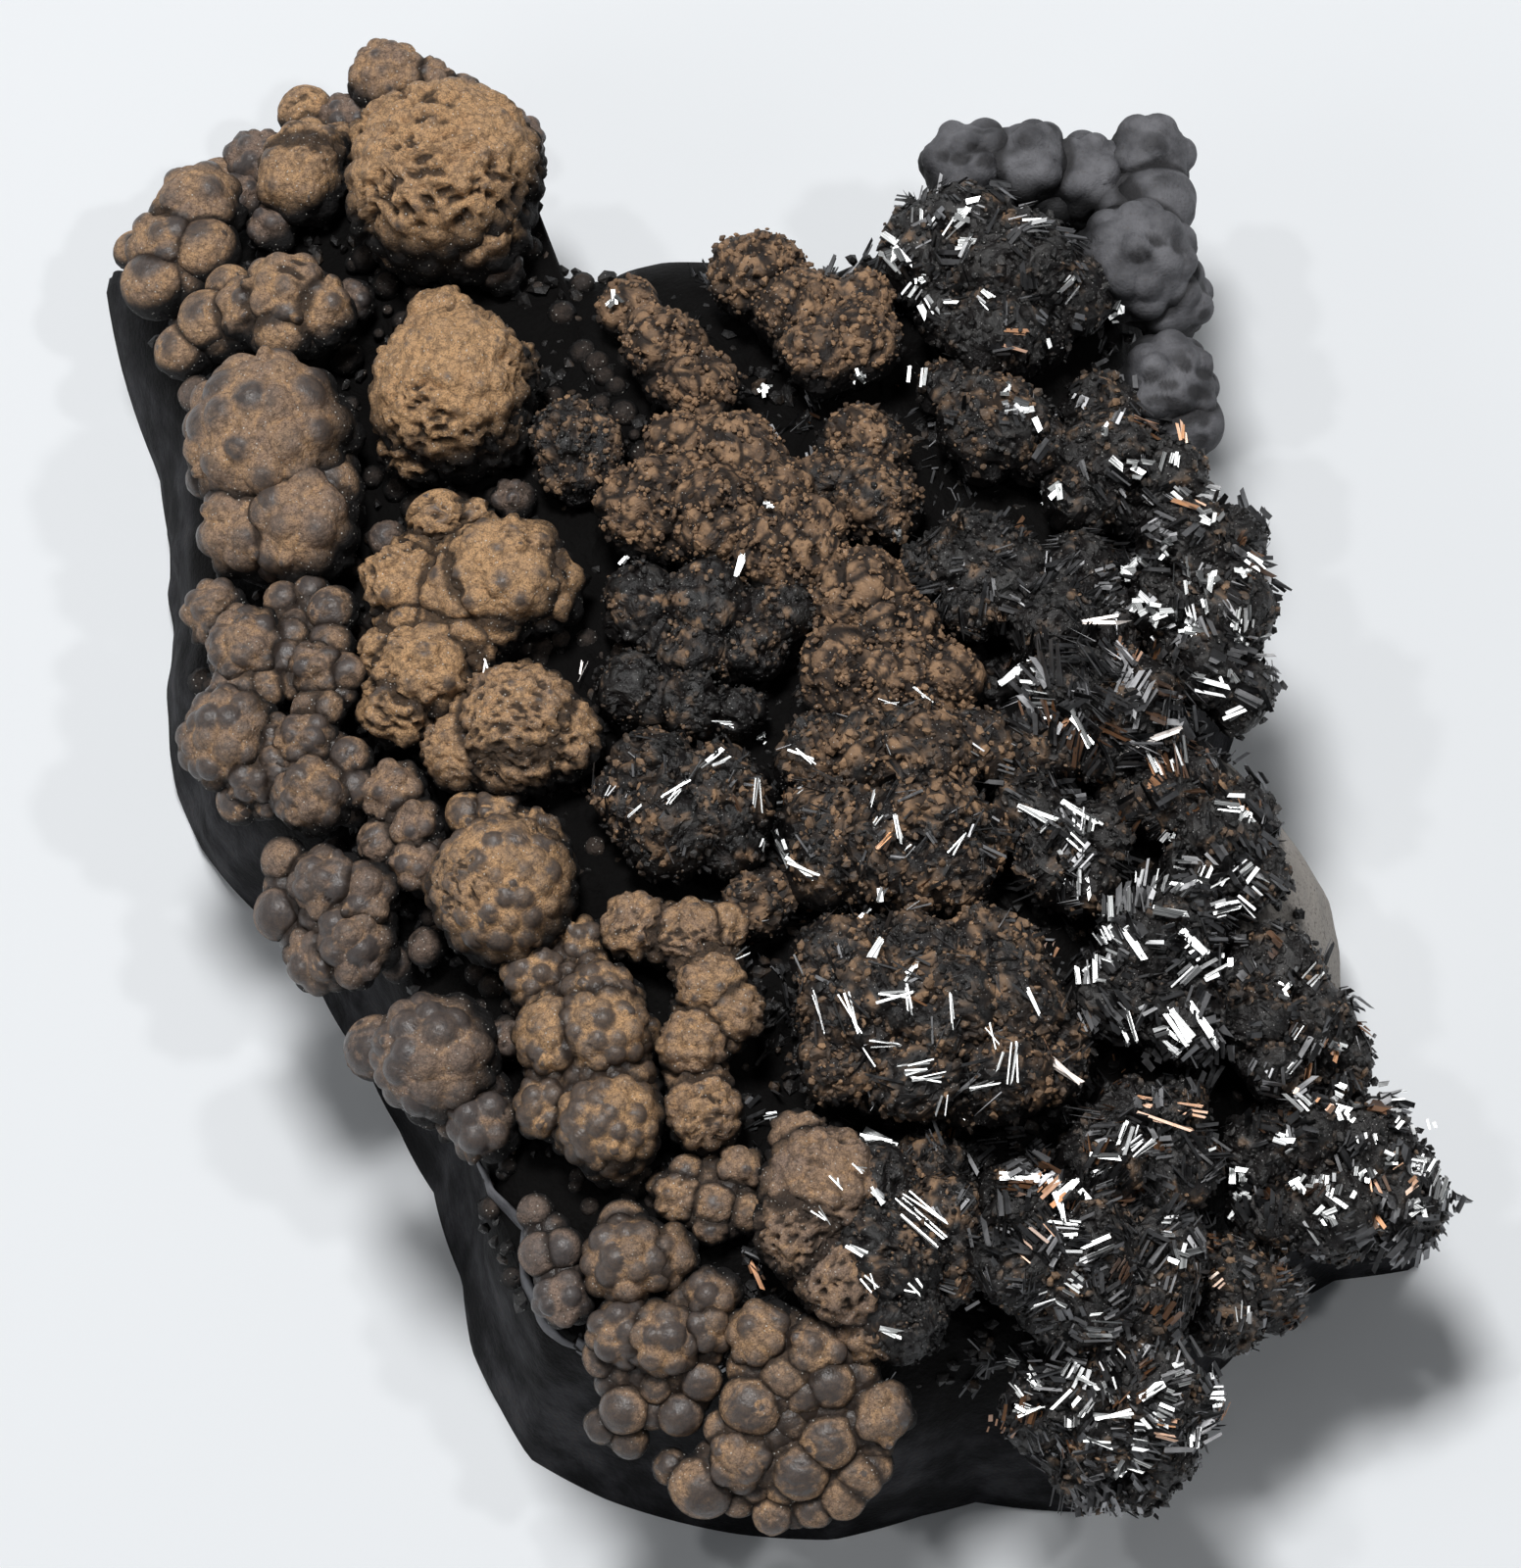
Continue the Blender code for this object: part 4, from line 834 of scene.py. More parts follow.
# Each clump: share of brown, size of its crumbs, and its lobes as across, up, radius.
ROUGH_ROMANECHITE = {
    "23": (0.80, 0.55, [(-5.0, 22.4, 1.8), (-6.6, 24.3, 1.3), (-3.2, 20.0, 1.7)]),
    "24": (0.62, 0.50, [
        (0.0, 25.8, 2.2), (1.6, 24.4, 1.8), (3.2, 22.0, 1.6), (5.2, 22.6, 1.9),
        (5.4, 24.8, 1.3)]),
    "25": (0.74, 0.48, [
        (-4.0, 17.4, 1.6), (-1.0, 16.6, 2.0), (-5.6, 14.0, 2.3), (-2.2, 13.6, 2.3),
        (2.1, 12.2, 2.2), (0.2, 11.8, 1.9), (0.8, 14.4, 1.7)]),
    "26": (0.28, 0.45, [
        (-6.0, 8.8, 1.7), (-2.6, 8.9, 2.0), (1.0, 8.4, 1.6), (-3.6, 6.8, 1.6),
        (-0.4, 6.8, 1.5)]),
    "27": (0.18, 0.45, [(-6.6, 5.0, 1.6), (-3.4, 4.0, 1.5), (-1.2, 3.7, 1.3)]),
    "28": (0.40, 0.50, [(-9.3, 17.3, 2.0), (-9.6, 15.9, 1.4)]),
    "29": (0.48, 0.50, [(5.3, 17.0, 1.9), (5.8, 14.3, 2.1), (3.7, 15.2, 1.5)]),
    "30": (0.75, 0.48, [
        (5.2, 9.4, 2.2), (6.8, 7.4, 2.0), (4.2, 5.6, 2.0), (6.8, 5.2, 2.0),
        (9.0, 5.0, 2.0)]),
    "22": (0.20, 0.42, [(5.6, -20.4, 2.2), (6.4, -23.6, 2.7), (7.0, -26.6, 2.2)]),
}


def crumb_skin(crumb):
    """The skin of a crumbly mass: slow swellings, lumps of some crumbs, and the crumbs.

    A lump or a crumb is a dome: its rise times the root of one less the squared distance
    from its centre, in its own size.  Where a second noise is high, holes go in.
    """
    def skin(_grid, places, _radius=0.0, _draws=None):
        slow = 0.42 * rolling(places, 1.9, 41)
        near, following, _ = grain_cells(places, 3.0 * crumb, 42)
        lumps = 0.95 * crumb * (np.sqrt(np.clip(1.0 - (near / 0.95) ** 2, 0.0, 1.0)) - 0.6)
        seam = np.clip(1.0 - (following - near) / 0.25, 0.0, 1.0)
        close, _, tone = grain_cells(places, crumb, 43)
        grit = 0.42 * crumb * (np.sqrt(np.clip(1.0 - (close / 0.85) ** 2, 0.0, 1.0)) - 0.5)
        holes = np.clip(2.2 * rolling(places, 1.5 * crumb, 44) - 0.55, 0.0, 1.0)
        # The hollow value is painted shade: between the crumbs, along seams between lumps and in
        # holes.
        hollow = np.clip((close - 0.48) / 0.40, 0.0, 0.7)
        hollow = np.maximum(np.maximum(hollow, 0.9 * seam), holes)
        return slow + lumps + grit - 0.8 * crumb * holes, tone, hollow, np.zeros(len(slow))
    return skin


def place_rough(lobes):
    """A rough clump's balls, a little smaller than its lobes, as crumbs go over them."""
    centres, radii, normal, level = place_lobes(lobes, CRUST_SWELL)
    return centres, radii * BENEATH_CRUMBS, normal, level


def unit(rows):
    """Rows of three scaled to a length of one."""
    return rows / np.linalg.norm(rows, axis=-1, keepdims=True)


def square_to(rows, axes):
    """What is left of each row when its share along its axis is taken away, at length one."""
    return unit(rows - (rows * axes).sum(axis=-1, keepdims=True) * axes)


def grain_shape():
    """A regular icosahedron: a face wherever three of its corners are one edge apart."""
    golden = 0.5 * (1.0 + math.sqrt(5.0))
    corners = np.array([np.roll((0.0, a, b * golden), turn)
                        for turn in range(3) for a in (-1.0, 1.0) for b in (-1.0, 1.0)])
    joined = np.isclose(np.linalg.norm(corners[:, None] - corners, axis=2), 2.0)
    i, j, k = np.nonzero(joined[:, :, None] & joined[:, None, :] & joined[None])
    out = (np.cross(corners[j] - corners[i], corners[k] - corners[i]) * corners[i]).sum(axis=1)
    kept = (i < j) & (i < k) & (out > 0.0)
    return unit(corners), np.stack((i, j, k), axis=1)[kept]


def make_grains(centres, sizes, outs, flat, draws):
    """Irregular grains: icosahedra with shaken corners, flattened along a leaning axis."""
    shape, faces = grain_shape()
    up = unit(outs + 0.8 * draws.normal(size=outs.shape))
    first = square_to(draws.normal(size=outs.shape), up)
    frames = np.stack((first, np.cross(up, first), up), axis=1)
    spread = np.stack((draws.uniform(0.9, 1.4, len(sizes)), draws.uniform(0.7, 1.0, len(sizes)),
                       np.full(len(sizes), flat)), axis=1)
    shaken = shape * draws.uniform(0.72, 1.28, (len(sizes), len(shape), 1))
    places = np.einsum("nvi,nij->nvj", shaken * (sizes[:, None] * spread)[:, None], frames)
    places = (places + centres[:, None]).reshape(-1, 3)
    corners = faces + len(shape) * np.arange(len(sizes))[:, None, None]
    return places, corners.reshape(-1, 3)


def skin_anchors(placed, cover, draws):
    """Random places on the upper, crumbly skin of a clump, and the ways out of it there.

    A ball's share is the cover times 9.4 x its squared radius, three quarters of its
    skin.  Places inside another ball of the clump are dropped.
    """
    centres, radii, normal, level = with_fill(placed)
    counts = np.round(cover * 9.4 * radii ** 2).astype(int)
    owner = np.repeat(np.arange(len(radii)), counts)
    outs = unit(draws.normal(size=(len(owner), 3)))
    facing = outs @ normal
    outs = np.where((facing < -0.2)[:, None], outs - 2.0 * facing[:, None] * normal, outs)
    places = centres[owner] + outs * radii[owner, None]
    gaps = np.linalg.norm(places[:, None] - centres, axis=2) - 0.95 * radii
    gaps[np.arange(len(owner)), owner] = 9.0
    clear = (gaps.min(axis=1) > 0.0) & (places @ normal > level)
    places, outs = places[clear], outs[clear]
    return places + crumb_skin(ANCHOR_CRUMB)(None, places)[0][:, None] * outs, outs


def strew_crumbs(placed, brown, cover, size, flat, draws):
    """Loose crumbs over a clump's skin, as places, triangles and finish."""
    normal, level = placed[2:]
    anchors, outs = skin_anchors(placed, cover, draws)
    sizes = size * (0.4 + 1.3 * draws.uniform(size=len(anchors)) ** 2)
    lift = draws.uniform(-0.10, 0.12, len(anchors))
    places, corners = make_grains(anchors + lift[:, None] * outs, sizes, outs, flat, draws)
    # Painted shade: crumbs set low and crumbs low on the flanks are marked darker.
    above = np.clip((anchors @ normal - level) / 2.5, 0.0, 1.0)
    flank = above * np.clip(0.25 + 1.3 * (outs @ normal), 0.0, 1.0)
    finish = np.empty((len(anchors), 12, 4))
    finish[..., 0] = draws.uniform(size=len(anchors))[:, None]
    finish[..., 1] = np.clip(0.25 - 2.0 * lift, 0.0, 1.0)[:, None]
    finish[..., 2] = flank[:, None]
    finish[..., 3] = brown
    return places, corners, finish.reshape(-1, 4)


def crumb_finish():
    """Crumbs from brown to black by the coat's share, painted shade between, painted white glints.
    """
    material, tree, shader, place = start_finish("crumbs")
    tone, hollow, flank, brown = read_finish(tree)
    cloud = speckle(tree, place, 0.5, 3.0)
    fine = speckle(tree, place, 7.0, 4.0, 0.65)
    warm = blend(tree, *CRUMB_BROWNS, tone + fine - 0.5)
    cold = blend(tree, *CRUMB_BLACKS, tone + fine - 0.5)
    share = (brown + (cloud - 0.5) * 1.3 + (tone - 0.5) * 0.35).rise(0.22, 0.70)
    colour = blend(tree, cold, warm, share)
    # Painted shade in the gaps and low on the flanks.
    colour = blend(tree, colour, CRUMB_GAP_SHADE, hollow.rise(0.15, 0.75) * 0.92)
    lit = (flank + (cloud - 0.5) * 0.4).rise(0.10, 0.85)
    colour = blend(tree, CRUMB_FLANK_SHADE, colour, lit)
    # Painted glints: white specks for the sparkle of tiny crystals.
    grit = grains(tree, place, 5.0).rise(0.18, 0.09) * fine.rise(0.50, 0.56)
    colour = blend(tree, colour, CRUMB_GLINT_WHITE, grit * 0.7)
    connect(tree, shader, fine, 0.07, Base_Color=colour, Roughness=0.45 + share * 0.35)
    return material


crumbs = crumb_finish()
for number, (code, (brown, crumb, lobes)) in enumerate(ROUGH_ROMANECHITE.items(), start=51):
    placed = place_rough(lobes)
    grown.append(placed)
    draws = np.random.default_rng(number)
    clump = add_piece(f"romanechite_crumbs_{code}", *join(
        grow_clump(number, placed, brown, crumb_skin(crumb), CRUMB_STEP),
        strew_crumbs(placed, brown, LOOSE_COVER, LOOSE_SIZE * crumb, LOOSE_FLAT, draws)),
        crumbs, smooth=False)
    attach(clump, "root")
    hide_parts(f"romanechite_cluster_{code}")

# The pyrolusite clusters on the right: black crumbs below, and out of them sheaves of flat
# metallic crystals side by side, some copper-brown with rust.  Every crystal is a blade
# with a square root and a chisel tip.

CRUST_STEP = 0.34
CRUST_CRUMB = 0.5
CRUST_COVER = 5.0
CRUST_LOOSE_SIZE = 0.19
CRUST_FLAT = 0.6

# The half-way line between the key light and the eye, and the share of the bundles that
# mirror the one to the other in a cluster whose share of bright ones is 1.
BRIGHT_WAY = np.array((-0.056, -0.056, 0.997))
MIRROR_SHARE = 0.20
MIRROR_LEAST_UP = 0.55

# Each bundle: its lean in radians, how far out of level it may stand, the share of its
# length that is sunk, how far it is raised when bright and when not, how unevenly it faces
# when bright and when not.  A bright blade is narrower.
BUNDLE_LEAN = (0.9, 1.5)
BUNDLE_LEAST_OUT = 0.35
BUNDLE_SUNK = 0.42
BUNDLE_RAISED = (0.45, 0.12)
BUNDLE_SHAKEN = (0.20, 0.60)
BRIGHT_NARROWER = 0.3

STEELS = ((0.030, 0.030, 0.031), (0.36, 0.36, 0.37))
STEEL_BRIGHT = (0.78, 0.80, 0.79)
RUST_COPPER = (0.50, 0.25, 0.12)

# Each cluster: share of brown in its crumbs, bundles to the square millimetre, blades to a
# bundle, their length and width, share of bright ones, share of rusty ones, and its lobes.
PYROLUSITE = {
    "01": (0.44, 0.25, 1, 0.9, 0.17, 0.60, 0.05, [
        (8.2, 1.4, 2.4), (5.3, 1.5, 1.9), (2.9, 1.4, 1.8), (10.6, 1.9, 1.8)]),
    "02": (0.34, 0.45, 2, 1.0, 0.17, 0.50, 0.05, [
        (-5.4, 0.2, 2.0), (-4.5, -2.2, 2.3), (-2.2, -0.8, 2.4), (-6.6, -1.2, 1.6),
        (-1.9, -2.9, 1.6)]),
    "03": (0.40, 0.45, 2, 1.1, 0.19, 0.50, 0.08, [
        (3.5, -1.9, 2.1), (3.4, -3.8, 2.0), (8.6, -2.2, 2.5), (9.0, -4.4, 2.3),
        (6.0, -3.8, 2.1), (11.0, -3.0, 1.7)]),
    "04": (0.50, 0.30, 2, 0.8, 0.18, 0.30, 0.10, [(-0.3, -6.2, 1.4), (0.6, -5.6, 1.1)]),
    "05": (0.36, 0.50, 1, 1.6, 0.20, 0.60, 0.02, [
        (4.0, -8.9, 2.0), (8.0, -9.0, 2.2), (11.6, -8.7, 2.2), (5.0, -11.4, 2.6),
        (9.0, -11.5, 2.8), (12.6, -11.4, 2.5), (4.2, -14.0, 2.0), (8.0, -14.5, 2.3),
        (12.0, -14.4, 2.4), (14.6, -13.9, 1.8)]),
    "06": (0.16, 0.40, 4, 1.1, 0.34, 0.90, 0.04, [
        (10.4, 28.0, 2.5), (13.2, 26.0, 2.9), (12.2, 23.2, 2.4), (15.4, 25.0, 2.2),
        (8.4, 27.0, 2.0), (9.6, 24.0, 1.5)]),
    "07": (0.34, 0.35, 3, 0.8, 0.30, 0.40, 0.05, [
        (12.0, 18.2, 2.4), (9.6, 20.2, 1.3), (13.6, 17.2, 1.6)]),
    "08": (0.20, 0.40, 4, 1.0, 0.32, 0.60, 0.08, [
        (17.6, 16.6, 2.2), (20.4, 15.2, 2.1), (16.4, 14.6, 1.6), (17.4, 19.0, 1.7)]),
    "09": (0.16, 0.50, 5, 1.2, 0.24, 0.08, 0.02, [
        (10.8, 11.2, 2.4), (9.0, 10.6, 1.7), (12.6, 10.2, 2.2), (10.8, 8.8, 1.7)]),
    "10": (0.14, 0.50, 6, 1.1, 0.26, 0.12, 0.03, [
        (16.0, 10.2, 2.1), (14.9, 7.9, 2.2), (17.3, 8.2, 1.8)]),
    "11": (0.12, 0.55, 4, 1.1, 0.40, 1.00, 0.03, [
        (21.6, 12.0, 2.2), (23.4, 9.2, 2.3), (23.8, 12.0, 1.8), (20.4, 9.2, 1.7),
        (22.4, 6.2, 1.9), (24.0, 4.6, 1.7)]),
    "12": (0.20, 0.55, 8, 1.5, 0.36, 0.40, 0.18, [
        (16.0, 4.2, 2.4), (18.4, 3.9, 2.4), (14.6, 2.2, 1.9), (17.2, 1.9, 1.8),
        (19.8, 2.6, 1.5)]),
    "13": (0.25, 0.50, 7, 1.2, 0.32, 0.40, 0.25, [
        (20.2, -0.9, 1.7), (18.2, -1.0, 1.2), (22.0, -0.2, 1.3)]),
    "14": (0.25, 0.55, 7, 1.2, 0.30, 0.40, 0.08, [
        (13.6, -1.4, 1.6), (14.8, -3.8, 1.9), (16.2, -4.8, 1.6), (16.8, -2.8, 1.5)]),
    "15": (0.12, 0.80, 7, 1.1, 0.40, 1.20, 0.05, [
        (20.0, -8.2, 2.5), (18.4, -10.9, 2.0), (21.0, -11.6, 2.3), (21.4, -7.6, 1.9)]),
    "16": (0.20, 0.55, 5, 0.9, 0.38, 0.90, 0.05, [
        (23.0, -3.0, 1.9), (24.4, -1.8, 1.6), (22.0, -4.0, 1.4), (24.6, -4.8, 1.6)]),
    "17": (0.22, 0.50, 4, 0.9, 0.34, 0.50, 0.15, [
        (25.9, -9.6, 2.1), (25.2, -12.0, 1.9), (27.6, -12.4, 2.1), (25.8, -14.0, 1.7),
        (29.0, -14.2, 1.7)]),
    "18": (0.14, 0.65, 5, 0.9, 0.42, 1.10, 0.10, [
        (27.8, -18.0, 2.1), (25.6, -18.8, 2.0), (30.6, -18.4, 2.1), (31.9, -20.6, 2.3),
        (28.6, -21.4, 2.4), (31.4, -22.0, 1.9), (25.8, -21.6, 1.8), (32.9, -21.4, 1.5)]),
    "19": (0.20, 0.60, 7, 1.3, 0.32, 0.35, 0.15, [
        (20.6, -17.0, 1.8), (18.6, -16.8, 1.5), (20.8, -19.2, 2.1), (17.6, -18.8, 2.0)]),
    "20": (0.20, 0.80, 7, 1.0, 0.32, 0.50, 0.06, [
        (13.2, -21.2, 2.1), (16.4, -23.4, 2.4), (12.8, -24.2, 2.0), (19.8, -24.0, 2.3),
        (15.6, -26.0, 2.2), (18.8, -26.6, 2.1)]),
    "21": (0.30, 0.70, 5, 0.8, 0.30, 0.20, 0.25, [
        (23.8, -25.2, 2.1), (25.6, -25.8, 1.7), (23.4, -27.2, 1.6)]),
    "22": (0.35, 0.60, 6, 1.0, 0.20, 0.20, 0.05, [
        (8.4, -19.2, 1.5), (9.2, -21.8, 1.9), (9.4, -24.4, 1.7)]),
    "23": (0.18, 0.80, 7, 1.0, 0.34, 0.90, 0.06, [
        (19.6, -30.8, 2.3), (16.4, -30.4, 2.1), (14.4, -31.6, 1.7), (21.4, -31.2, 1.6),
        (17.6, -33.0, 2.2), (20.0, -33.6, 1.7), (16.8, -34.8, 1.6), (19.0, -35.0, 1.6)]),
}

# A blade's triangles: its root, its two broad sides, and its two edges, on six corners;
# and how far across the blade each corner lies.
BLADE_CORNERS = np.array(((0, 1, 2), (0, 2, 3), (3, 2, 5), (3, 5, 4),
                          (1, 0, 4), (1, 4, 5), (2, 1, 5), (0, 3, 4)))
BLADE_ACROSS = (0.0, 1.0, 1.0, 0.0, 0.0, 1.0)


def make_blades(roots, ways, faces, lengths, widths, depths, slants):
    """Flat crystals: four corners round each root, and a slanting ridge at each tip."""
    sides = np.cross(ways, faces)
    half = 0.5 * widths[:, None] * sides
    thick = 0.5 * depths[:, None] * faces
    tips = roots + lengths[:, None] * ways
    ridge = 0.90 * half + (slants * widths)[:, None] * ways
    places = np.stack((roots - half - thick, roots + half - thick, roots + half + thick,
                       roots - half + thick, tips - ridge, tips + ridge), axis=1)
    corners = BLADE_CORNERS + 6 * np.arange(len(roots))[:, None, None]
    return places.reshape(-1, 3), corners.reshape(-1, 3)


def mark_blades(rust, shine, draws):
    """The finish of blades: rust, shine, the place across a blade, and a random tone."""
    finish = np.empty((len(rust), 6, 4))
    finish[..., 0] = rust[:, None]
    finish[..., 1] = shine[:, None]
    finish[..., 2] = BLADE_ACROSS
    finish[..., 3] = draws.uniform(size=(len(rust), 1))
    return finish.reshape(-1, 4)


def grow_bundles(anchors, outs, blades, length, width, shine, rust, draws):
    """Bundles of blades at the anchors, as places, triangles and finish.

    A bundle's axis leans 50 to 85 degrees off the way out, and neighbours lean alike.  Its
    blades lie side by side and behind each other, fanned by a few degrees, with nearly the
    same facing.  The bright ones lie square to the half-way line between the key light
    and the eye.
    """
    count = len(anchors)
    lean = draws.uniform(*BUNDLE_LEAN, (count, 1))
    drift = np.stack([rolling(anchors, 2.2, salt) for salt in (71, 72, 73)], axis=1)
    tangents = square_to(2.2 * drift + 0.5 * draws.normal(size=(count, 3)), outs)
    axes = outs * np.cos(lean) + tangents * np.sin(lean)
    lit = draws.uniform(size=count) < MIRROR_SHARE * shine
    lit = lit & (outs[:, 2] > MIRROR_LEAST_UP)
    level = unit(square_to(axes, np.broadcast_to(BRIGHT_WAY, axes.shape))
                 + 0.06 * draws.normal(size=(count, 3)))
    axes = np.where(lit[:, None], level, axes)
    facing = np.where(lit[:, None], BRIGHT_WAY, outs)
    shaken = np.where(lit, *BUNDLE_SHAKEN)[:, None] * draws.normal(size=(count, 3))
    faces = square_to(facing + shaken, axes)
    sides = np.cross(axes, faces)
    size = length * draws.uniform(0.55, 1.35, (count, 1))
    across = draws.uniform(-1.0, 1.0, (count, blades))
    through = draws.uniform(-1.0, 1.0, (count, blades))
    fan = draws.uniform(0.02, 0.16, (count, 1))
    spread = width * (0.20 + 0.36 * blades) * draws.uniform(0.6, 1.3, (count, 1))
    raised = np.where(lit, *BUNDLE_RAISED)[:, None]
    roots = (anchors - BUNDLE_SUNK * size * axes + raised * outs)[:, None]
    roots = roots + (spread * across)[..., None] * sides[:, None]
    roots = roots + (0.45 * spread * through)[..., None] * faces[:, None]
    roots = roots + (0.3 * size * draws.uniform(size=(count, blades)))[..., None] * axes[:, None]
    ways = axes[:, None] + (fan * across)[..., None] * sides[:, None]
    ways = ways + (0.7 * fan * through)[..., None] * faces[:, None]
    ways = unit(ways + 0.06 * draws.normal(size=ways.shape)).reshape(-1, 3)
    facing = np.repeat(faces, blades, axis=0) + 0.18 * draws.normal(size=ways.shape)
    facing = square_to(facing, ways)
    total = count * blades
    lengths = (size * draws.uniform(0.45, 1.25, (count, blades))).ravel()
    widths = 0.60 * width * draws.uniform(0.35, 1.6, total)
    widths = widths * np.repeat(1.0 - BRIGHT_NARROWER * lit, blades)
    depths = widths * draws.uniform(0.2, 0.5, total)
    slants = draws.normal(0.0, 0.30, total)
    places, corners = make_blades(roots.reshape(-1, 3), ways, facing, lengths, widths, depths,
                                  slants)
    bright = np.repeat(lit, blades) * draws.uniform(0.1, 1.0, total)
    rusty = np.repeat(draws.uniform(size=count) < rust, blades) * draws.uniform(0.4, 1.0, total)
    return places, corners, mark_blades(rusty, bright, draws)


def blade_finish():
    """Steel-grey metal with fine lines along the blades, from dull to bright, some rusty."""
    material, tree, shader, place = start_finish("pyrolusite_blades")
    rust, shine, across, tone = read_finish(tree)
    cloud = speckle(tree, place, 1.4, 3.0)
    lines = add_node(tree, "ShaderNodeCombineXYZ", None, {0: across * 7.0, 1: tone * 60.0})
    lines = speckle(tree, lines, 1.0, 2.0)
    steel = blend(tree, *STEELS, tone + cloud - 0.5)
    steel = blend(tree, steel, STEEL_BRIGHT, shine * lines.rise(0.34, 0.60))
    colour = blend(tree, steel, RUST_COPPER, (rust + (cloud - 0.5) * rust) * 0.9)
    rough = 0.46 - shine * 0.12 + (lines - 0.5) * 0.15 + rust * 0.1
    connect(tree, shader, lines, 0.006, Base_Color=colour, Roughness=rough)
    shader.inputs["Metallic"].default_value = 1.0
    return material


bladed = blade_finish()
for number, (code, cluster) in enumerate(PYROLUSITE.items(), start=71):
    brown, cover, blades, length, width, shine, rust, lobes = cluster
    placed = place_rough(lobes)
    grown.append(placed)
    draws = np.random.default_rng(number)
    crust = add_piece(f"pyrolusite_crust_{code}", *join(
        grow_clump(number, placed, brown, crumb_skin(CRUST_CRUMB), CRUST_STEP),
        strew_crumbs(placed, brown, CRUST_COVER, CRUST_LOOSE_SIZE, CRUST_FLAT, draws)),
        crumbs, smooth=False)
    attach(crust, "root")
    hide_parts(f"pyrolusite_cluster_{code}")
    anchors, outs = skin_anchors(placed, cover, draws)
    upper = outs @ placed[2] > BUNDLE_LEAST_OUT
    anchors, outs = anchors[upper], outs[upper]
    bundles = grow_bundles(anchors, outs, blades, length, width, shine, rust, draws)
    sheaf = add_piece(f"pyrolusite_blades_{code}", *bundles, bladed, smooth=False)
    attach(sheaf, "root")
    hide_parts(f"pyrolusite_cluster_{code}")

# What grows on the slab between the clumps: on the left small dark nodules, on the right
# black crumbs with short dull blades, both darkened with painted shade.  Each one stands on
# the slab's top, clear of clumps.

GAP_TRIES = 9000
GAP_BOX = ((-34.0, 34.0), (-37.5, 37.0))
GAP_REACH = 0.93
NODULE_END = -6.0
NODULE_SHARE = 0.16
NODULE_SIZES = (0.30, 0.85)
RUBBLE_SHARE = 0.6
RUBBLE_SIZES = (0.18, 0.50)

# Blades to a bundle, their length and width, share of bright ones, share of rusty ones.
GAP_BUNDLES = (4, 1.2, 0.25, 0.04, 0.08)


def on_slab(across, up):
    """The places on the slab's top that show at measured places."""
    height = np.full(len(across), FACE_HEIGHT)
    for _ in range(15):
        x, y = to_plan(across, up, height)
        height = 0.5 * (height + slab_top(x, y))
    return np.stack((x, y, slab_top(x, y)), axis=1)


def all_balls():
    """Centres and radii of all the balls grown so far."""
    return (np.concatenate([placed[0] for placed in grown]),
            np.concatenate([placed[1] for placed in grown]))


def slab_anchors(draws):
    """Random places on the slab's top that no clump stands over, and the ways out there.

    The way out is square to the slab's slope, measured over a millimetre each way.
    """
    across, up = (draws.uniform(low, high, GAP_TRIES) for low, high in GAP_BOX)
    x, y, _ = on_slab(across, up).T
    centres, radii = all_balls()
    gaps = np.hypot(x[:, None] - centres[:, 0], y[:, None] - centres[:, 1]) - 0.75 * radii
    clear = (edge_share(x, y) < GAP_REACH) & (gaps.min(axis=1) > 0.0)
    x, y = x[clear], y[clear]
    outs = unit(np.stack((slab_top(x - 1.0, y) - slab_top(x + 1.0, y),
                          slab_top(x, y - 1.0) - slab_top(x, y + 1.0), np.full(len(x), 2.0)), 1))
    return np.stack((x, y, slab_top(x, y)), axis=1), outs


def make_nodules(anchors, outs, draws):
    """Small low balls, each with a coarse ball's grid, as places, triangles and finish."""
    grid, faces = ball_grid(6)
    sizes = draws.uniform(*NODULE_SIZES, len(anchors))
    places = grid * (sizes[:, None, None] * (1.0, 1.0, 0.9))
    places = places + (anchors + 0.05 * sizes[:, None] * outs)[:, None]
    corners = faces + len(grid) * np.arange(len(anchors))[:, None, None]
    finish = np.empty((len(anchors), len(grid), 4))
    finish[..., 0] = 0.4 * draws.uniform(size=(len(anchors), 1)) * np.clip(grid[:, 2], 0.0, 1.0)
    # Painted shade: the nodules are marked as lying in a hollow and darker low down.
    finish[..., 1] = 0.45
    finish[..., 2] = np.clip(0.12 + 0.25 * grid[:, 2], 0.0, 1.0)
    finish[..., 3] = 0.10
    return places.reshape(-1, 3), corners.reshape(-1, 3), finish.reshape(-1, 4)


draws = np.random.default_rng(101)
anchors, outs = slab_anchors(draws)
bare_side = anchors[:, 0] < NODULE_END
few = bare_side & (draws.uniform(size=len(anchors)) < NODULE_SHARE)
nodules = add_piece("slab_nodules", *make_nodules(anchors[few], outs[few], draws), coated)
rubble = ~bare_side | (draws.uniform(size=len(anchors)) < RUBBLE_SHARE)
rest, rest_outs = anchors[rubble], outs[rubble]
sizes = draws.uniform(*RUBBLE_SIZES, len(rest))
places, corners = make_grains(rest, sizes, rest_outs, 0.7, draws)
finish = np.empty((len(rest), 12, 4))
finish[..., 0] = draws.uniform(size=(len(rest), 1))
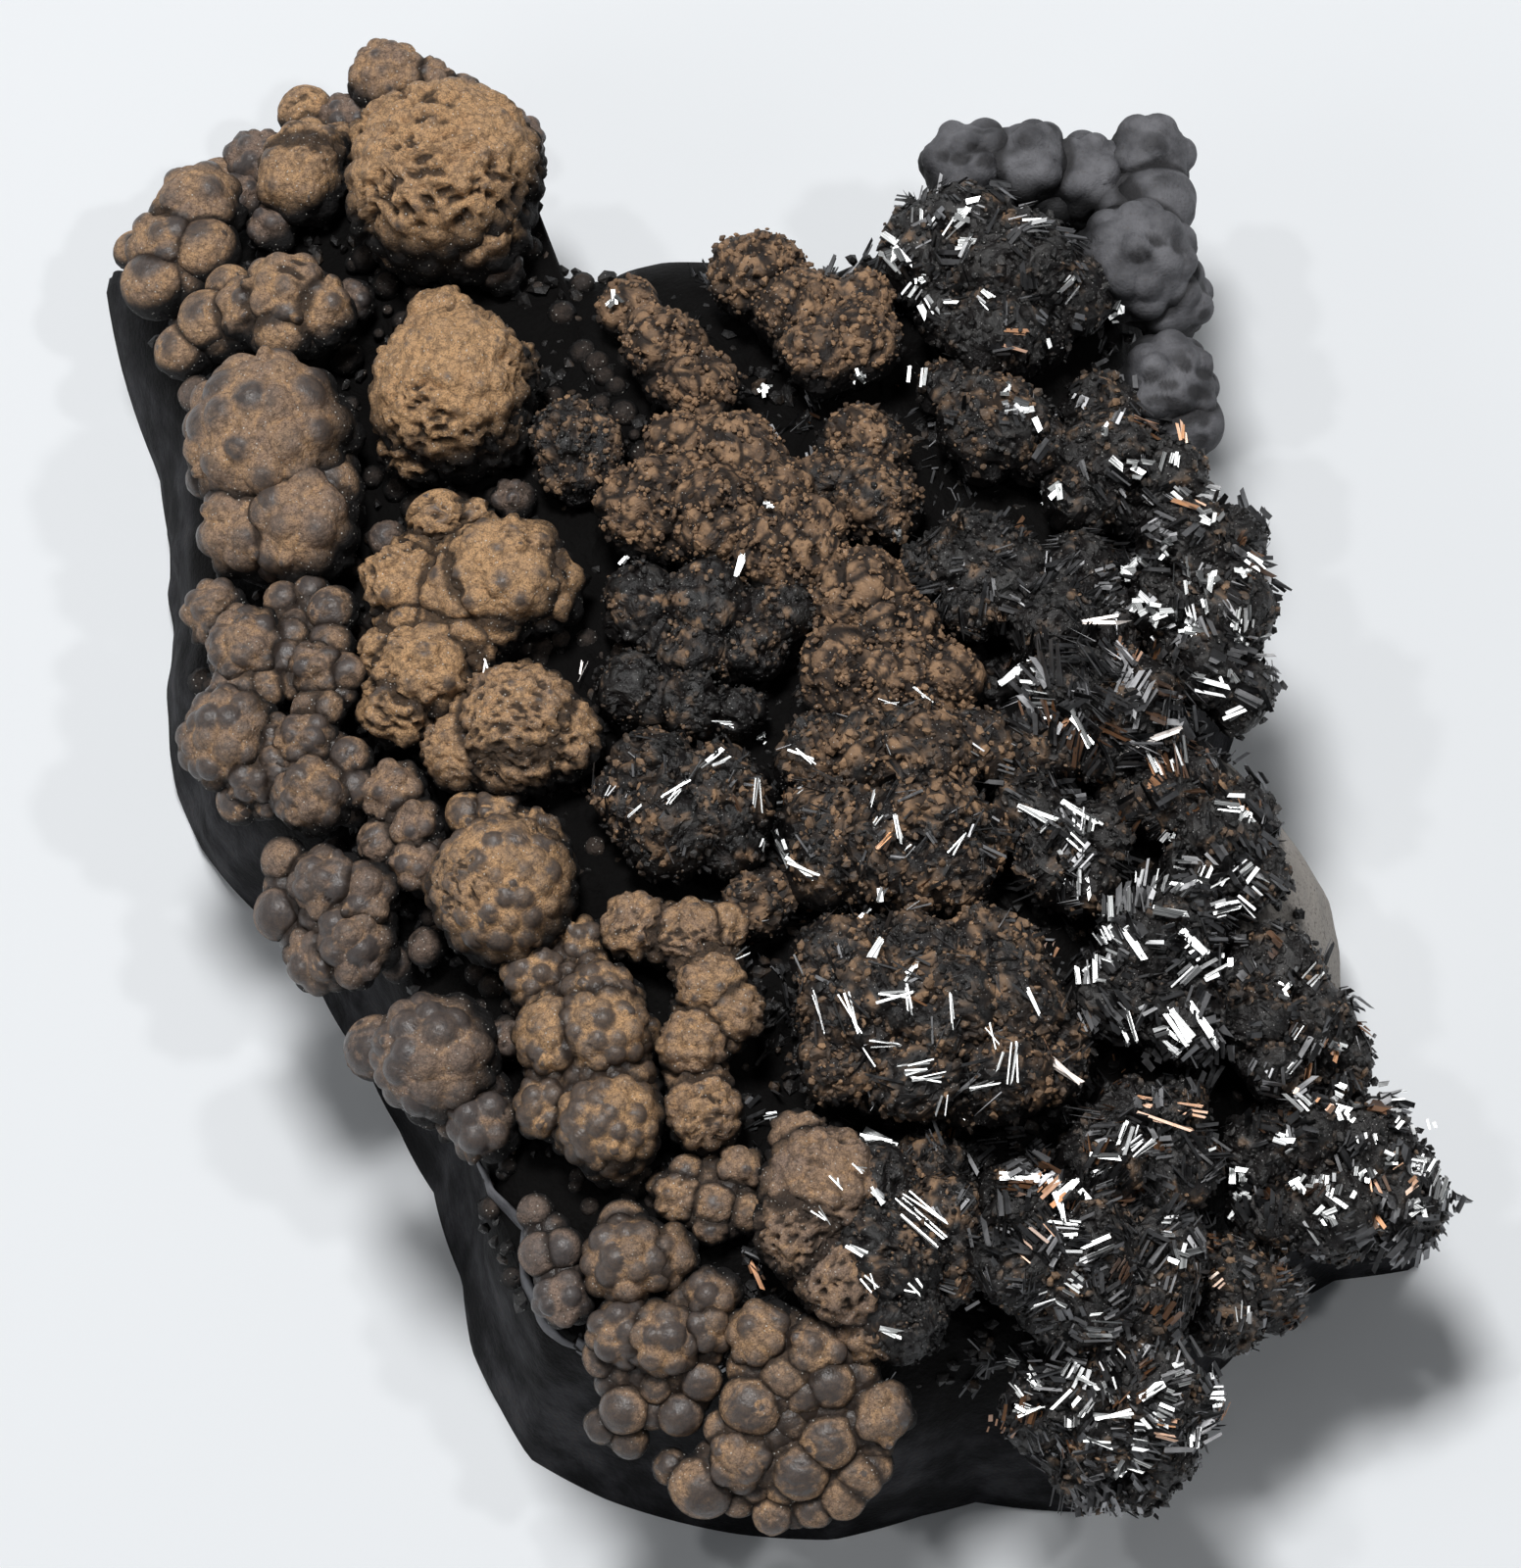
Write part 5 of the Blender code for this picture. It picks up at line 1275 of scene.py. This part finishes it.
# Painted shade: the crumbs on the slab are marked part in hollow, part low on a flank.
finish[..., 1:3] = (0.35, 0.38)
finish[..., 3] = 0.15
slab_crumbs = add_piece("slab_crumbs", places, corners, finish.reshape(-1, 4), crumbs,
                        smooth=False)
right, right_outs = anchors[~bare_side][::3], outs[~bare_side][::3]
bundles = grow_bundles(right, right_outs, *GAP_BUNDLES, draws)
slab_blades = add_piece("slab_blades", *bundles, bladed, smooth=False)
for piece in (nodules, slab_crumbs, slab_blades):
    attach(piece, "root")

# The lumps between the left clumps and along the upper left rim: single balls of the
# same romanechite with little of its coat and a coarse skin, grown onto the slab between
# their larger neighbours.

# Each lump: across, up, radius.
LUMPS = [
    (-21.0, 24.9, 1.0), (-29.0, 20.0, 0.9), (-26.0, -4.8, 1.1), (-16.9, -8.3, 0.9),
    (-18.4, -9.2, 0.8), (-12.7, -13.0, 1.0), (-12.6, 14.5, 1.0), (-19.0, 12.5, 0.9),
    (-13.4, 26.4, 1.1), (-17.4, 29.4, 0.9), (-13.6, 9.6, 0.9), (-20.8, -1.2, 0.9),
    (-14.0, -3.4, 0.8), (-26.0, 32.2, 1.6), (-27.0, 30.2, 1.3), (-21.4, 34.4, 1.3),
    (-12.8, 33.2, 1.5), (-25.2, 28.8, 1.2),
]
LUMP_SWELL = 1.2
LUMP_SKIN = (0.7, 0.12, 0.6, 0.10, 0.4, 0)
LUMP_COAT = 0.05
LUMP_STEP = 0.26
LOWEST = 0.1

meshes = []
for number, lump in enumerate(LUMPS, start=161):
    placed = place_lobes([lump], LUMP_SWELL)
    grown.append(placed)
    meshes.append(grow_clump(number, placed, LUMP_COAT, bud_skin(*LUMP_SKIN), LUMP_STEP))
places, corners, finish = join(*meshes)
places[:, 2] = np.maximum(places[:, 2], LOWEST)
slab_lumps = add_piece("slab_lumps", places, corners, finish, coated)
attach(slab_lumps, "root")

# Shells along the lower left rim: broken edges of a thin older skin of ore, standing up
# from the slab beside the lowest clumps, where they grew.

SHELL_PATHS = [
    [(-18.6, -16.0), (-17.2, -16.9), (-15.5, -18.8)],
    [(-14.8, -18.5), (-13.5, -20.8), (-12.0, -22.5), (-12.0, -25.0), (-10.8, -27.3), (-9.0, -29.0)],
    [(-9.5, -30.0), (-9.7, -31.5), (-8.2, -33.3)],
]
SHELL_WIDTH = 0.5
SHELL_RISE = 1.1
SHELL_REACH = 0.92
SHELL_RINGS = 60
RING_CORNERS = 12


def make_shell(path, number):
    """A thin ridge along a path on the slab: an oval ring swept along it, as one mesh.

    The ring shrinks towards both ends by the root of the sine of the way along, and a
    smooth noise makes its top uneven.  A fan closes each end.  Places past SHELL_REACH of
    the way to the slab's edge are moved in to there.
    """
    path = np.array(path)
    run = np.append(0.0, np.cumsum(np.hypot(*np.diff(path, axis=0).T)))
    along = np.linspace(0.0, run[-1], SHELL_RINGS)
    across, up = np.interp(along, run, path[:, 0]), np.interp(along, run, path[:, 1])
    centre = on_slab(across, up)
    share = edge_share(centre[:, 0], centre[:, 1])
    inwards = np.minimum(1.0, SHELL_REACH / share)[:, None]
    centre[:, :2] = (HUB_X, HUB_Y) + inwards * (centre[:, :2] - (HUB_X, HUB_Y))
    centre[:, 2] = slab_top(centre[:, 0], centre[:, 1])
    centre[:, :2] += 0.3 * np.stack([rolling(centre, 1.6, number + k) for k in (0, 1)], axis=1)
    side = unit(np.cross(np.gradient(centre, axis=0), (0.0, 0.0, 1.0)))
    size = np.sqrt(np.sin(math.pi * np.linspace(0.01, 0.99, SHELL_RINGS)))
    rise = SHELL_RISE * size * (1.0 + 0.45 * rolling(centre, 1.2, number + 2))
    angles = np.linspace(0.0, 2.0 * math.pi, RING_CORNERS, endpoint=False)
    out = (0.5 * SHELL_WIDTH * size)[:, None] * np.cos(angles)
    places = centre[:, None] + out[..., None] * side[:, None]
    places[..., 2] += rise[:, None] * np.sin(angles)
    k = np.arange(RING_CORNERS)
    start = RING_CORNERS * np.arange(SHELL_RINGS - 1)[:, None]
    a, b = start + k, start + (k + 1) % RING_CORNERS
    wall = np.stack((a, b + RING_CORNERS, b, a, a + RING_CORNERS, b + RING_CORNERS), axis=2)
    fan = np.stack((0 * k, k, (k + 1) % RING_CORNERS), axis=1)[1:-1]
    last = fan[:, ::-1] + RING_CORNERS * (SHELL_RINGS - 1)
    finish = np.tile((0.0, 0.0, 1.0, 0.0), (places.size // 3, 1))
    return places.reshape(-1, 3), np.vstack((wall.reshape(-1, 3), fan, last)), finish


shells = [make_shell(path, 181 + 5 * k) for k, path in enumerate(SHELL_PATHS)]
rim_shells = add_piece("rim_shells", *join(*shells), bare)
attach(rim_shells, "root")

# The crystals that catch the eye: long needles and bright plates that stand out of the
# crumbs and of the bundles, each where it grows on the face, and a little proud of it.

SIGHT = np.array((0.0, -math.sin(FACE_LEAN), math.cos(FACE_LEAN)))

# Each needle: its root and tip as across and up, its width, and its share of rust.
NEEDLES = [
    (-14.1, 5.5, -14.0, 6.3, 0.15, 0.2), (-9.2, 5.6, -9.1, 6.3, 0.15, 0.2),
    (-7.0, 11.2, -6.6, 11.8, 0.28, 0.0), (-6.5, 10.4, -6.1, 10.9, 0.35, 0.0),
    (-1.2, 10.6, -0.8, 11.5, 0.35, 0.0), (-2.7, 1.1, -1.9, 1.8, 0.35, 0.0),
    (-2.4, 0.9, -1.5, 1.4, 0.25, 0.0), (-5.0, -0.7, -3.8, 0.1, 0.15, 0.0),
    (-4.6, -1.0, -4.0, -0.3, 0.12, 0.0), (-0.1, 0.3, -0.3, -1.2, 0.16, 0.0),
    (0.5, -2.0, 0.9, -3.2, 0.40, 0.0), (0.8, -2.9, 1.6, -4.1, 0.32, 0.0),
    (1.3, -3.8, 2.8, -4.6, 0.32, 0.0), (1.8, 1.8, 2.8, 1.0, 0.16, 0.0),
    (6.8, -1.6, 7.0, -2.8, 0.35, 0.0), (5.8, -3.2, 6.5, -2.5, 0.16, 1.0),
    (5.9, -5.9, 6.1, -5.2, 0.42, 0.0), (4.9, -6.8, 5.6, -6.3, 0.35, 0.0),
    (5.4, -8.9, 6.1, -7.8, 0.48, 0.0), (7.3, -9.5, 7.9, -9.1, 0.30, 0.0),
    (6.0, -10.5, 7.4, -10.4, 0.22, 0.0), (4.2, -10.5, 4.9, -12.5, 0.17, 0.0),
    (7.3, -10.0, 7.6, -11.6, 0.15, 0.0), (11.5, -12.0, 11.8, -13.3, 0.13, 0.0),
    (7.2, -14.5, 8.3, -14.4, 0.15, 0.0), (7.6, -14.9, 9.1, -14.7, 0.16, 0.0),
    (7.1, -14.1, 8.5, -14.0, 0.14, 0.0), (10.5, -15.4, 12.0, -15.0, 0.15, 0.0),
    (12.9, -13.0, 12.6, -15.0, 0.18, 0.0), (14.3, -13.8, 16.2, -15.0, 0.34, 0.3),
    (12.6, 0.3, 13.0, -1.3, 0.45, 0.0), (13.0, -1.1, 15.0, -1.8, 0.36, 0.0),
    (15.2, -0.9, 17.0, -2.0, 0.28, 0.0), (17.6, 1.3, 21.3, 2.8, 0.34, 0.2),
    (15.8, 3.5, 16.6, 1.8, 0.36, 0.0), (12.2, 5.0, 13.5, 5.9, 0.60, 0.0),
    (15.9, 8.2, 18.0, 8.2, 0.36, 0.2), (18.9, -15.8, 22.3, -16.2, 0.22, 0.9),
    (19.2, -16.2, 22.4, -16.8, 0.24, 0.8), (19.0, -16.6, 21.8, -17.4, 0.22, 0.7),
    (16.6, -18.7, 18.0, -18.8, 0.45, 0.0), (12.0, -19.8, 14.0, -19.7, 0.32, 0.0),
    (14.5, -19.6, 15.2, -21.8, 0.35, 0.0), (16.2, -20.6, 17.0, -20.9, 0.45, 0.0),
    (5.0, -17.7, 6.6, -18.0, 0.55, 0.0), (7.0, -21.0, 9.2, -22.8, 0.16, 0.0),
    (7.2, -20.6, 9.3, -21.9, 0.15, 0.0), (7.1, -21.6, 8.9, -23.2, 0.14, 0.0),
    (19.8, -6.2, 21.4, -6.6, 0.60, 0.0), (18.4, -7.2, 19.2, -8.6, 0.50, 0.0),
    (21.2, -7.4, 22.4, -8.4, 0.60, 0.0), (17.6, -10.6, 18.6, -13.2, 0.35, 0.0),
    (18.2, -10.6, 19.0, -13.0, 0.30, 0.0), (20.6, -11.2, 21.6, -13.0, 0.60, 0.0),
    (21.6, -11.0, 22.8, -12.6, 0.55, 0.0), (22.8, -31.8, 23.2, -30.2, 0.60, 0.4),
    (16.0, -29.8, 17.0, -30.4, 0.32, 0.0), (19.1, -30.9, 20.0, -30.0, 0.42, 0.0),
    (16.9, -31.9, 18.6, -31.4, 0.26, 0.0), (11.7, -31.3, 12.9, -31.8, 0.24, 0.0),
    (12.9, -31.6, 14.3, -31.3, 0.22, 0.0), (16.3, -32.8, 17.7, -33.3, 0.30, 0.0),
    (-1.5, -8.9, -0.7, -8.2, 0.12, 0.0), (-2.4, 3.2, -1.4, 3.0, 0.14, 0.0),
    (6.2, 4.2, 6.9, 4.0, 0.10, 0.0), (7.7, 4.9, 8.5, 4.3, 0.12, 0.0),
    (9.7, -3.6, 10.3, -2.5, 0.14, 0.0), (9.5, -10.5, 9.6, -12.0, 0.12, 0.0),
    (13.4, -10.4, 14.0, -11.6, 0.16, 0.0), (2.6, -10.6, 3.1, -12.1, 0.12, 0.0),
    (5.6, -12.8, 6.9, -13.1, 0.14, 0.0), (9.2, -16.2, 10.3, -16.9, 0.12, 0.0),
    (5.6, -20.4, 6.2, -21.0, 0.40, 0.0), (4.5, -23.1, 5.2, -23.5, 0.36, 0.0),
    (6.0, -27.3, 6.8, -27.7, 0.34, 0.0), (3.5, -19.6, 4.0, -20.1, 0.14, 0.0),
    (4.6, -19.0, 5.1, -19.5, 0.16, 0.0), (2.9, -21.4, 3.4, -21.9, 0.14, 0.0),
    (5.2, -24.6, 5.9, -25.2, 0.18, 0.0), (7.4, -25.0, 8.0, -25.6, 0.20, 0.0),
]

# Each bright plate: across, up, and size.
PLATES = [
    (18.8, 10.6, 1.3), (19.3, 9.3, 1.1), (20.0, 8.5, 1.2), (19.8, 7.4, 0.8), (14.6, 15.0, 1.2),
    (19.2, 16.2, 1.3), (13.5, 18.9, 1.0), (12.6, 20.2, 0.6), (17.4, 18.0, 0.6),
    (10.4, 27.6, 1.1), (6.9, 27.4, 1.2), (10.5, 29.2, 1.1), (22.6, 13.6, 1.2), (24.4, 7.3, 0.7),
    (15.0, 22.4, 1.3), (18.3, 24.2, 0.8), (23.2, -18.4, 1.1), (24.2, -19.7, 1.0),
    (24.3, -20.8, 0.9), (23.3, -21.9, 1.2), (28.6, -21.8, 1.0), (33.3, -21.4, 0.9),
    (29.3, -16.6, 1.1), (32.2, -16.7, 0.7), (31.8, -18.9, 0.8), (26.5, -18.0, 0.9),
    (21.2, -23.7, 1.4), (22.2, -5.2, 1.2), (20.8, -2.9, 0.8), (24.8, -1.6, 0.9),
    (17.4, -7.6, 0.8), (23.2, -9.2, 0.9), (26.4, -10.4, 0.8), (16.4, -9.2, 0.8),
    (13.6, 5.9, 1.1), (20.6, 11.9, 0.9), (22.8, 10.4, 1.0), (23.9, 5.4, 0.8), (21.9, 7.9, 1.0),
    (24.6, 10.8, 0.8), (0.2, 20.4, 0.8), (5.0, 20.6, 0.7), (0.3, 14.2, 0.5), (0.1, 2.3, 0.5),
    (7.0, 12.6, 0.6), (-7.6, 24.8, 0.7), (8.3, 25.8, 0.6), (30.4, -19.8, 1.0),
    (27.2, -20.2, 0.9), (29.0, -13.2, 0.8), (22.5, -29.4, 0.8), (18.0, -34.4, 0.7),
]

# Copies of each, how far they spread, how far they stand proud of what they grow on, and
# their widths or sizes as shares of the first one's.
NEEDLE_COPIES = 3
NEEDLE_SPREAD = 0.16
NEEDLE_PROUD = 0.85
NEEDLE_WIDTHS = (0.35, 0.75)
PLATE_COPIES = 6
PLATE_SPREAD = 0.26
PLATE_PROUD = 0.75
PLATE_SIZES = (0.35, 0.8)

# No crystal stands nearer the slab's edge than this share of the way, where nothing larger
# bears it, and a line of sight that meets nothing gets the second number for a reach.
CRYSTAL_REACH = 0.86
NOT_MET = -99.0


def front_places(across, up):
    """Where lines of sight through measured places first meet a ball or the slab's top.

    Along the line from a place on the measuring plane, a ball is met at less the offset's
    share along it plus the root of its radius squared less the offset's other share.  A
    line that meets neither a ball nor the slab gets NOT_MET.
    """
    x, y = to_plan(across, up, FACE_HEIGHT)
    start = np.stack((x, y, np.full(len(x), FACE_HEIGHT)), axis=1)
    centres, radii = all_balls()
    offset = start[:, None] - centres
    along = offset @ SIGHT
    inside = along ** 2 - (offset ** 2).sum(axis=2) + radii ** 2
    reach = np.where(inside > 0.0, np.sqrt(np.maximum(inside, 0.0)) - along, NOT_MET)
    spot = on_slab(across, up)
    to_slab = np.where(edge_share(spot[:, 0], spot[:, 1]) < CRYSTAL_REACH,
                       (spot[:, 2] - FACE_HEIGHT) / SIGHT[2], NOT_MET)
    return start, np.maximum(reach.max(axis=1), to_slab)


draws = np.random.default_rng(131)
table = np.repeat(np.array(NEEDLES), NEEDLE_COPIES, axis=0)
copied = (np.arange(len(table)) % NEEDLE_COPIES > 0)[:, None]
table[:, :4] += NEEDLE_SPREAD * draws.normal(size=(len(table), 4)) * copied
root, root_reach = front_places(table[:, 0], table[:, 1])
tip, tip_reach = front_places(table[:, 2], table[:, 3])
met = np.minimum(root_reach, tip_reach) > NOT_MET
table, root, tip = table[met], root[met], tip[met]
middle = 0.5 * (root_reach + tip_reach)[met] + NEEDLE_PROUD
fall = 0.5 * ((tip - root) @ BRIGHT_WAY) / (SIGHT @ BRIGHT_WAY)
root = root + (middle + fall)[:, None] * SIGHT
tip = tip + (middle - fall)[:, None] * SIGHT
lengths = np.linalg.norm(tip - root, axis=1)
ways = unit(tip - root)
facing = square_to(BRIGHT_WAY + 0.20 * draws.normal(size=ways.shape), ways)
widths = table[:, 4] * draws.uniform(*NEEDLE_WIDTHS, len(table))
needles = make_blades(root, ways, facing, lengths, widths, 0.4 * widths,
                      draws.normal(0.0, 0.4, len(table)))
needle_marks = mark_blades(table[:, 5], draws.uniform(0.7, 1.0, len(table)), draws)

table = np.repeat(np.array(PLATES), PLATE_COPIES, axis=0)
table[:, :2] += PLATE_SPREAD * table[:, 2:] * draws.normal(size=(len(table), 2))
start, reach = front_places(table[:, 0], table[:, 1])
met = reach > NOT_MET
table, start, reach = table[met], start[met], reach[met]
facing = unit(BRIGHT_WAY + 0.20 * draws.normal(size=start.shape))
ways = square_to(draws.normal(size=start.shape), facing)
sizes = table[:, 2] * draws.uniform(*PLATE_SIZES, len(table))
root = start + (reach + PLATE_PROUD)[:, None] * SIGHT - 0.5 * sizes[:, None] * ways
plates = make_blades(root, ways, facing, sizes, 0.42 * sizes, 0.16 * sizes,
                     draws.normal(0.0, 0.2, len(table)))
plate_marks = mark_blades(np.zeros(len(table)), draws.uniform(0.8, 1.0, len(table)), draws)
mesh = join((*needles, needle_marks), (*plates, plate_marks))
bright_crystals = add_piece("bright_crystals", *mesh, bladed, smooth=False)
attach(bright_crystals, "root")

# The floor, the lights and the camera: a plain pale sheet, one soft light high behind the
# specimen's far end, small bright ones for the crystals, and a long lens looking steeply
# down at the grown face.

TARGET = np.array((-MID_ACROSS, -MID_UP, FACE_HEIGHT)) * MM
DISTANCE = 1.0
VIEW_HEIGHT = 0.080
SENSOR = 36.0
FLOOR_SIDE = 6.0
FLOOR_DROP = 0.02
FLOOR_PAPERS = ((0.91, 0.935, 0.96), (0.896, 0.921, 0.946))
SKY_COLOUR = (0.9, 0.95, 1.0, 1.0)
SKY_STRENGTH = 0.07

# Each light: place and side in metres, and power in watts.
LIGHTS = {
    "key": ((-0.10, 0.22, 0.90), 0.20, 6.2),
    "fill": ((-0.60, -0.30, 0.55), 0.40, 0.5),
    "sparkle_right": ((0.35, -0.10, 0.80), 0.04, 0.7),
    "sparkle_left": ((-0.35, 0.05, 0.85), 0.04, 0.6),
}


def floor_finish():
    """Matt paper of one pale colour, a hair darker in wide clouds."""
    material, tree, shader, place = start_finish("floor_paper")
    connect(tree, shader, Base_Color=blend(tree, *FLOOR_PAPERS, speckle(tree, place, 0.01, 1.0)))
    shader.inputs["Roughness"].default_value = 0.9
    return material


def add_light(name, place, size, power):
    """A square soft white light, turned to the middle of the specimen."""
    lamp = bpy.data.lights.new(name, "AREA")
    lamp.size = size
    lamp.energy = power
    light = bpy.data.objects.new(name, lamp)
    light.location = place
    way = Vector(place) - Vector(TARGET)
    light.rotation_euler = way.to_track_quat("Z", "Y").to_euler()
    bpy.context.scene.collection.objects.link(light)


floor_corners = np.array(((-1, -1), (1, -1), (1, 1), (-1, 1))) * 0.5 * FLOOR_SIDE / MM
floor_places = np.column_stack((floor_corners, np.full(4, -FLOOR_DROP)))
floor = add_piece("floor", floor_places, np.array(((0, 1, 2), (0, 2, 3))), None, floor_finish())

for name, (place, size, power) in LIGHTS.items():
    add_light(name, place, size, power)

scene = bpy.context.scene
world = bpy.data.worlds.new("studio")
world.use_nodes = True
world.node_tree.nodes["Background"].inputs["Color"].default_value = SKY_COLOUR
world.node_tree.nodes["Background"].inputs["Strength"].default_value = SKY_STRENGTH
scene.world = world
scene.view_settings.view_transform = "Standard"

lens = bpy.data.cameras.new("view")
lens.sensor_width = SENSOR
lens.lens = SENSOR * DISTANCE / VIEW_HEIGHT
lens.clip_start = 0.05
lens.clip_end = 20.0
camera = bpy.data.objects.new("view", lens)
camera.location = TARGET + DISTANCE * SIGHT
camera.rotation_euler = (FACE_LEAN, 0.0, 0.0)
scene.collection.objects.link(camera)
scene.camera = camera
